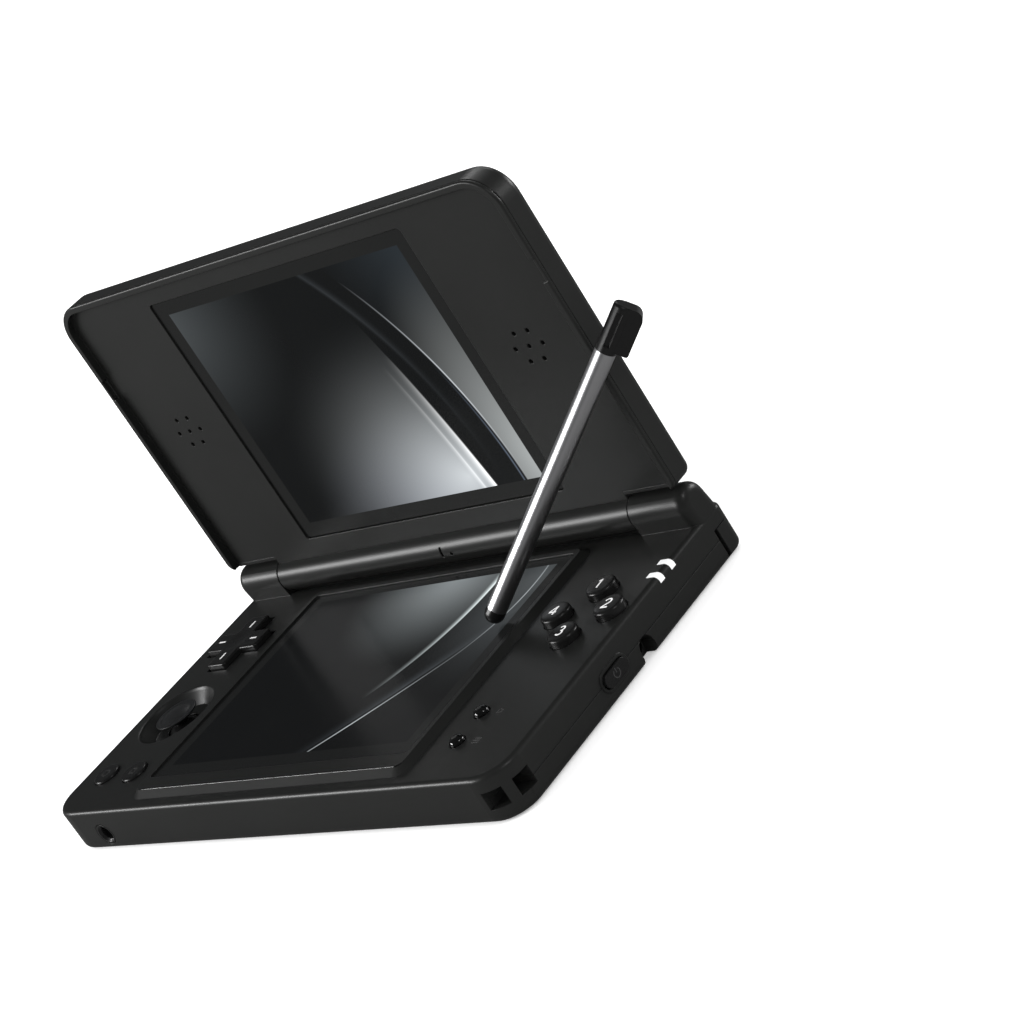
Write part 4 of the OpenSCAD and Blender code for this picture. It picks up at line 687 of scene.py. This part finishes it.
marks = {
    "lift": 0.02, "sink": 0.06, "step": 0.25,
    "numerals": {"north": "one", "east": "two", "south": "three", "west": "four"},
    "numeralSize": 0.88, "numeralWidth": 0.44, "dashReach": 6.4, "dashWidth": 0.5,
    # name, symbol, width, centre, height of the face, body
    "flat": [
        ("start_mark", "arrow", 0.3, (64.5, -24.2), 12.0, "base"),
        ("select_mark", "bars", 0.3, (64.5, -33.7), 12.0, "base"),
        ("menu_mark_outer", "ring", 0.35, (-70.3, -33.3), 12.7, "menu_button_outer"),
        ("menu_mark_inner", "square", 0.35, (-58.7, -33.3), 12.7, "menu_button_inner"),
    ],
    # name, symbol, width, place from front to back, height, right (1) or left (-1), body
    "upright": [
        ("power_mark", "power", 0.28, -6.0, 5.5, 1, "power_button"),
        ("volume_plus", "plus", 0.28, 4.6, 5.5, -1, "volume_rocker"),
        ("volume_minus", "minus", 0.28, -5.4, 5.5, -1, "volume_rocker"),
    ],
    "sideFace": 81.4,    # from the middle to the outer face of the side controls
}


def evenPath(points, step):
    # the polyline with each leg cut into equal lengths no longer than step
    legs = np.diff(points, axis=0)
    counts = np.maximum(1, np.ceil(np.linalg.norm(legs, axis=1) / step)).astype(int)
    leg = np.repeat(np.arange(len(legs)), counts)
    walked = np.arange(1, len(leg) + 1) - np.repeat(np.cumsum(counts) - counts, counts)
    share = (walked / counts[leg])[:, None]
    return np.concatenate([points[:1], points[leg] + legs[leg] * share])


def pathSides(path):
    # the direction to the left of a path at each of its points
    direction = np.gradient(path, axis=0)
    direction /= np.linalg.norm(direction, axis=1)[:, None]
    return np.stack([-direction[:, 1], direction[:, 0]], axis=1)


def strokeRings(path, width, place):
    # a flat bar carried along the path: four corners a row, width across it, and between
    # the sunk and the lifted height, put into space by place(across, along, height)
    side = pathSides(path) * width / 2
    left, right = path + side, path - side
    low, high = -marks["sink"], marks["lift"]
    rows = [place(right[:, 0], right[:, 1], low), place(left[:, 0], left[:, 1], low),
            place(left[:, 0], left[:, 1], high), place(right[:, 0], right[:, 1], high)]
    return np.stack(rows, axis=1)


def addMark(name, symbol, width, place, body, material, size=1.0):
    # one raised piece for each stroke of the symbol
    for number, stroke in enumerate(symbols[symbol]):
        path = evenPath(np.array(stroke, float) * size, marks["step"])
        closedPiece(name + "_" + str(number + 1), strokeRings(path, width, place), body, material)


def onTop(centre, height):
    # a flat or curved top whose height is height(across, along)
    def place(across, along, lift):
        return np.stack([centre[0] + across, centre[1] + along, height(across, along) + lift], axis=-1)
    return place


def onSide(along, height, outward):
    # the side of the case, seen from outside, with +Z up
    def place(across, up, lift):
        face = outward * (marks["sideFace"] + lift)
        return np.stack([0 * across + face, along + outward * across, height + up], axis=-1)
    return place


def flatAt(height):
    # the same height everywhere
    return lambda across, along: height + 0 * across


def buttonTop(across, along):
    # the crown's height at the distance that across and along make
    return crownHeight(faceButtons, np.hypot(across, along))


for side, symbol in marks["numerals"].items():
    centre = offCentre(faceButtons, compass[side], faceButtons["offset"])
    addMark("numeral_" + side, symbol, marks["numeralWidth"], onTop(centre, buttonTop), "button_" + side,
            finish["markWhite"], marks["numeralSize"])
for side, place in compass.items():
    centre = offCentre(directionPad, place, marks["dashReach"])
    addMark("pad_dash_" + side, "dash" if place[0] else "dashUp", marks["dashWidth"],
            onTop(centre, flatAt(directionPad["top"])), "direction_pad", finish["markWhite"])
for name, symbol, width, centre, height, body in marks["flat"]:
    addMark(name, symbol, width, onTop(centre, flatAt(height)), body, finish["markDark"])
for name, symbol, width, along, height, outward, body in marks["upright"]:
    addMark(name, symbol, width, onSide(along, height, outward), body, finish["markDark"])
print("marks laid")

crestBead = {
    "left": -46.6, "right": 46.05, "front": -42.15, "cornerRadius": 2.0, "height": 13.42, "radius": 0.2,
    "taper": 0.03, "thinnest": 0.01, "straightRows": 120, "cornerRows": 13,
}


def beadRings(setup, columns=12):
    # a round bar along the front crest of the platform and round its right corner; its radius
    # grows at either end as the root of a sine
    along = np.linspace(setup["left"], setup["right"], setup["straightRows"])
    turn = np.linspace(-np.pi / 2, 0, setup["cornerRows"] + 1)[1:]
    straight = np.stack([along, 0 * along + setup["front"]], axis=1)
    corner = np.stack([setup["right"] + setup["cornerRadius"] * np.cos(turn),
                       setup["front"] + setup["cornerRadius"] * (1 + np.sin(turn))], axis=1)
    path = np.concatenate([straight, corner])
    walked = np.concatenate([[0], np.cumsum(np.linalg.norm(np.diff(path, axis=0), axis=1))])
    share = np.minimum(walked, walked[-1] - walked) / walked[-1] / setup["taper"]
    growth = np.sin(np.minimum(share, 1.0) * np.pi / 2).clip(setup["thinnest"], 1.0)
    radius = setup["radius"] * np.sqrt(growth)[:, None]
    angle = np.linspace(0, 2 * np.pi, columns, endpoint=False)
    flat = path[:, None, :] + pathSides(path)[:, None, :] * (radius * np.cos(angle))[:, :, None]
    height = setup["height"] + radius * np.sin(angle)
    return np.concatenate([flat, height[:, :, None]], axis=2)


closedPiece("crest_bead", beadRings(crestBead), "base", finish["glossBlack"], sharpAngle=60.0)
print("platform bead laid")

nodeFinish = {
    "caseBlack": ["base_bottom_case", "base_top_case", "lid_outer_cover", "lid_front_frame", "hinge_barrel",
                  "shoulder_left", "shoulder_right"],
    "buttonBlack": ["menu_button_outer", "menu_button_inner", "power_button", "volume_rocker", "stick_stem",
                    "headphone_socket"],
    "glossBlack": ["start_button", "select_button"],
    "lensWhite": ["status_lenses"],
    "upperScreen": ["upper_glass"], "lowerScreen": ["lower_glass"],
    "stylusMetal": ["stylus_shaft"], "stylusBlack": ["stylus_tip", "stylus_cap"],
    "portMetal": ["charge_port", "display_tray", "hinge_pins", "microphone"],
    "screwSteel": ["base_screws"],
    "innerGrey": ["battery", "stick_housing", "stick_gimbal", "side_switches", "pad_ball", "speakers",
                  "display_ribbon"],
    "boardGreen": ["main_board"], "keyRubber": ["key_mats"],
    "displayDark": ["lower_display", "upper_display"],
}
for finishName, nodeNames in nodeFinish.items():
    for nodeName in nodeNames:
        for place in nodes[nodeName].material_slots:
            place.link = "OBJECT"
            place.material = finish[finishName]
print("nodes finished")
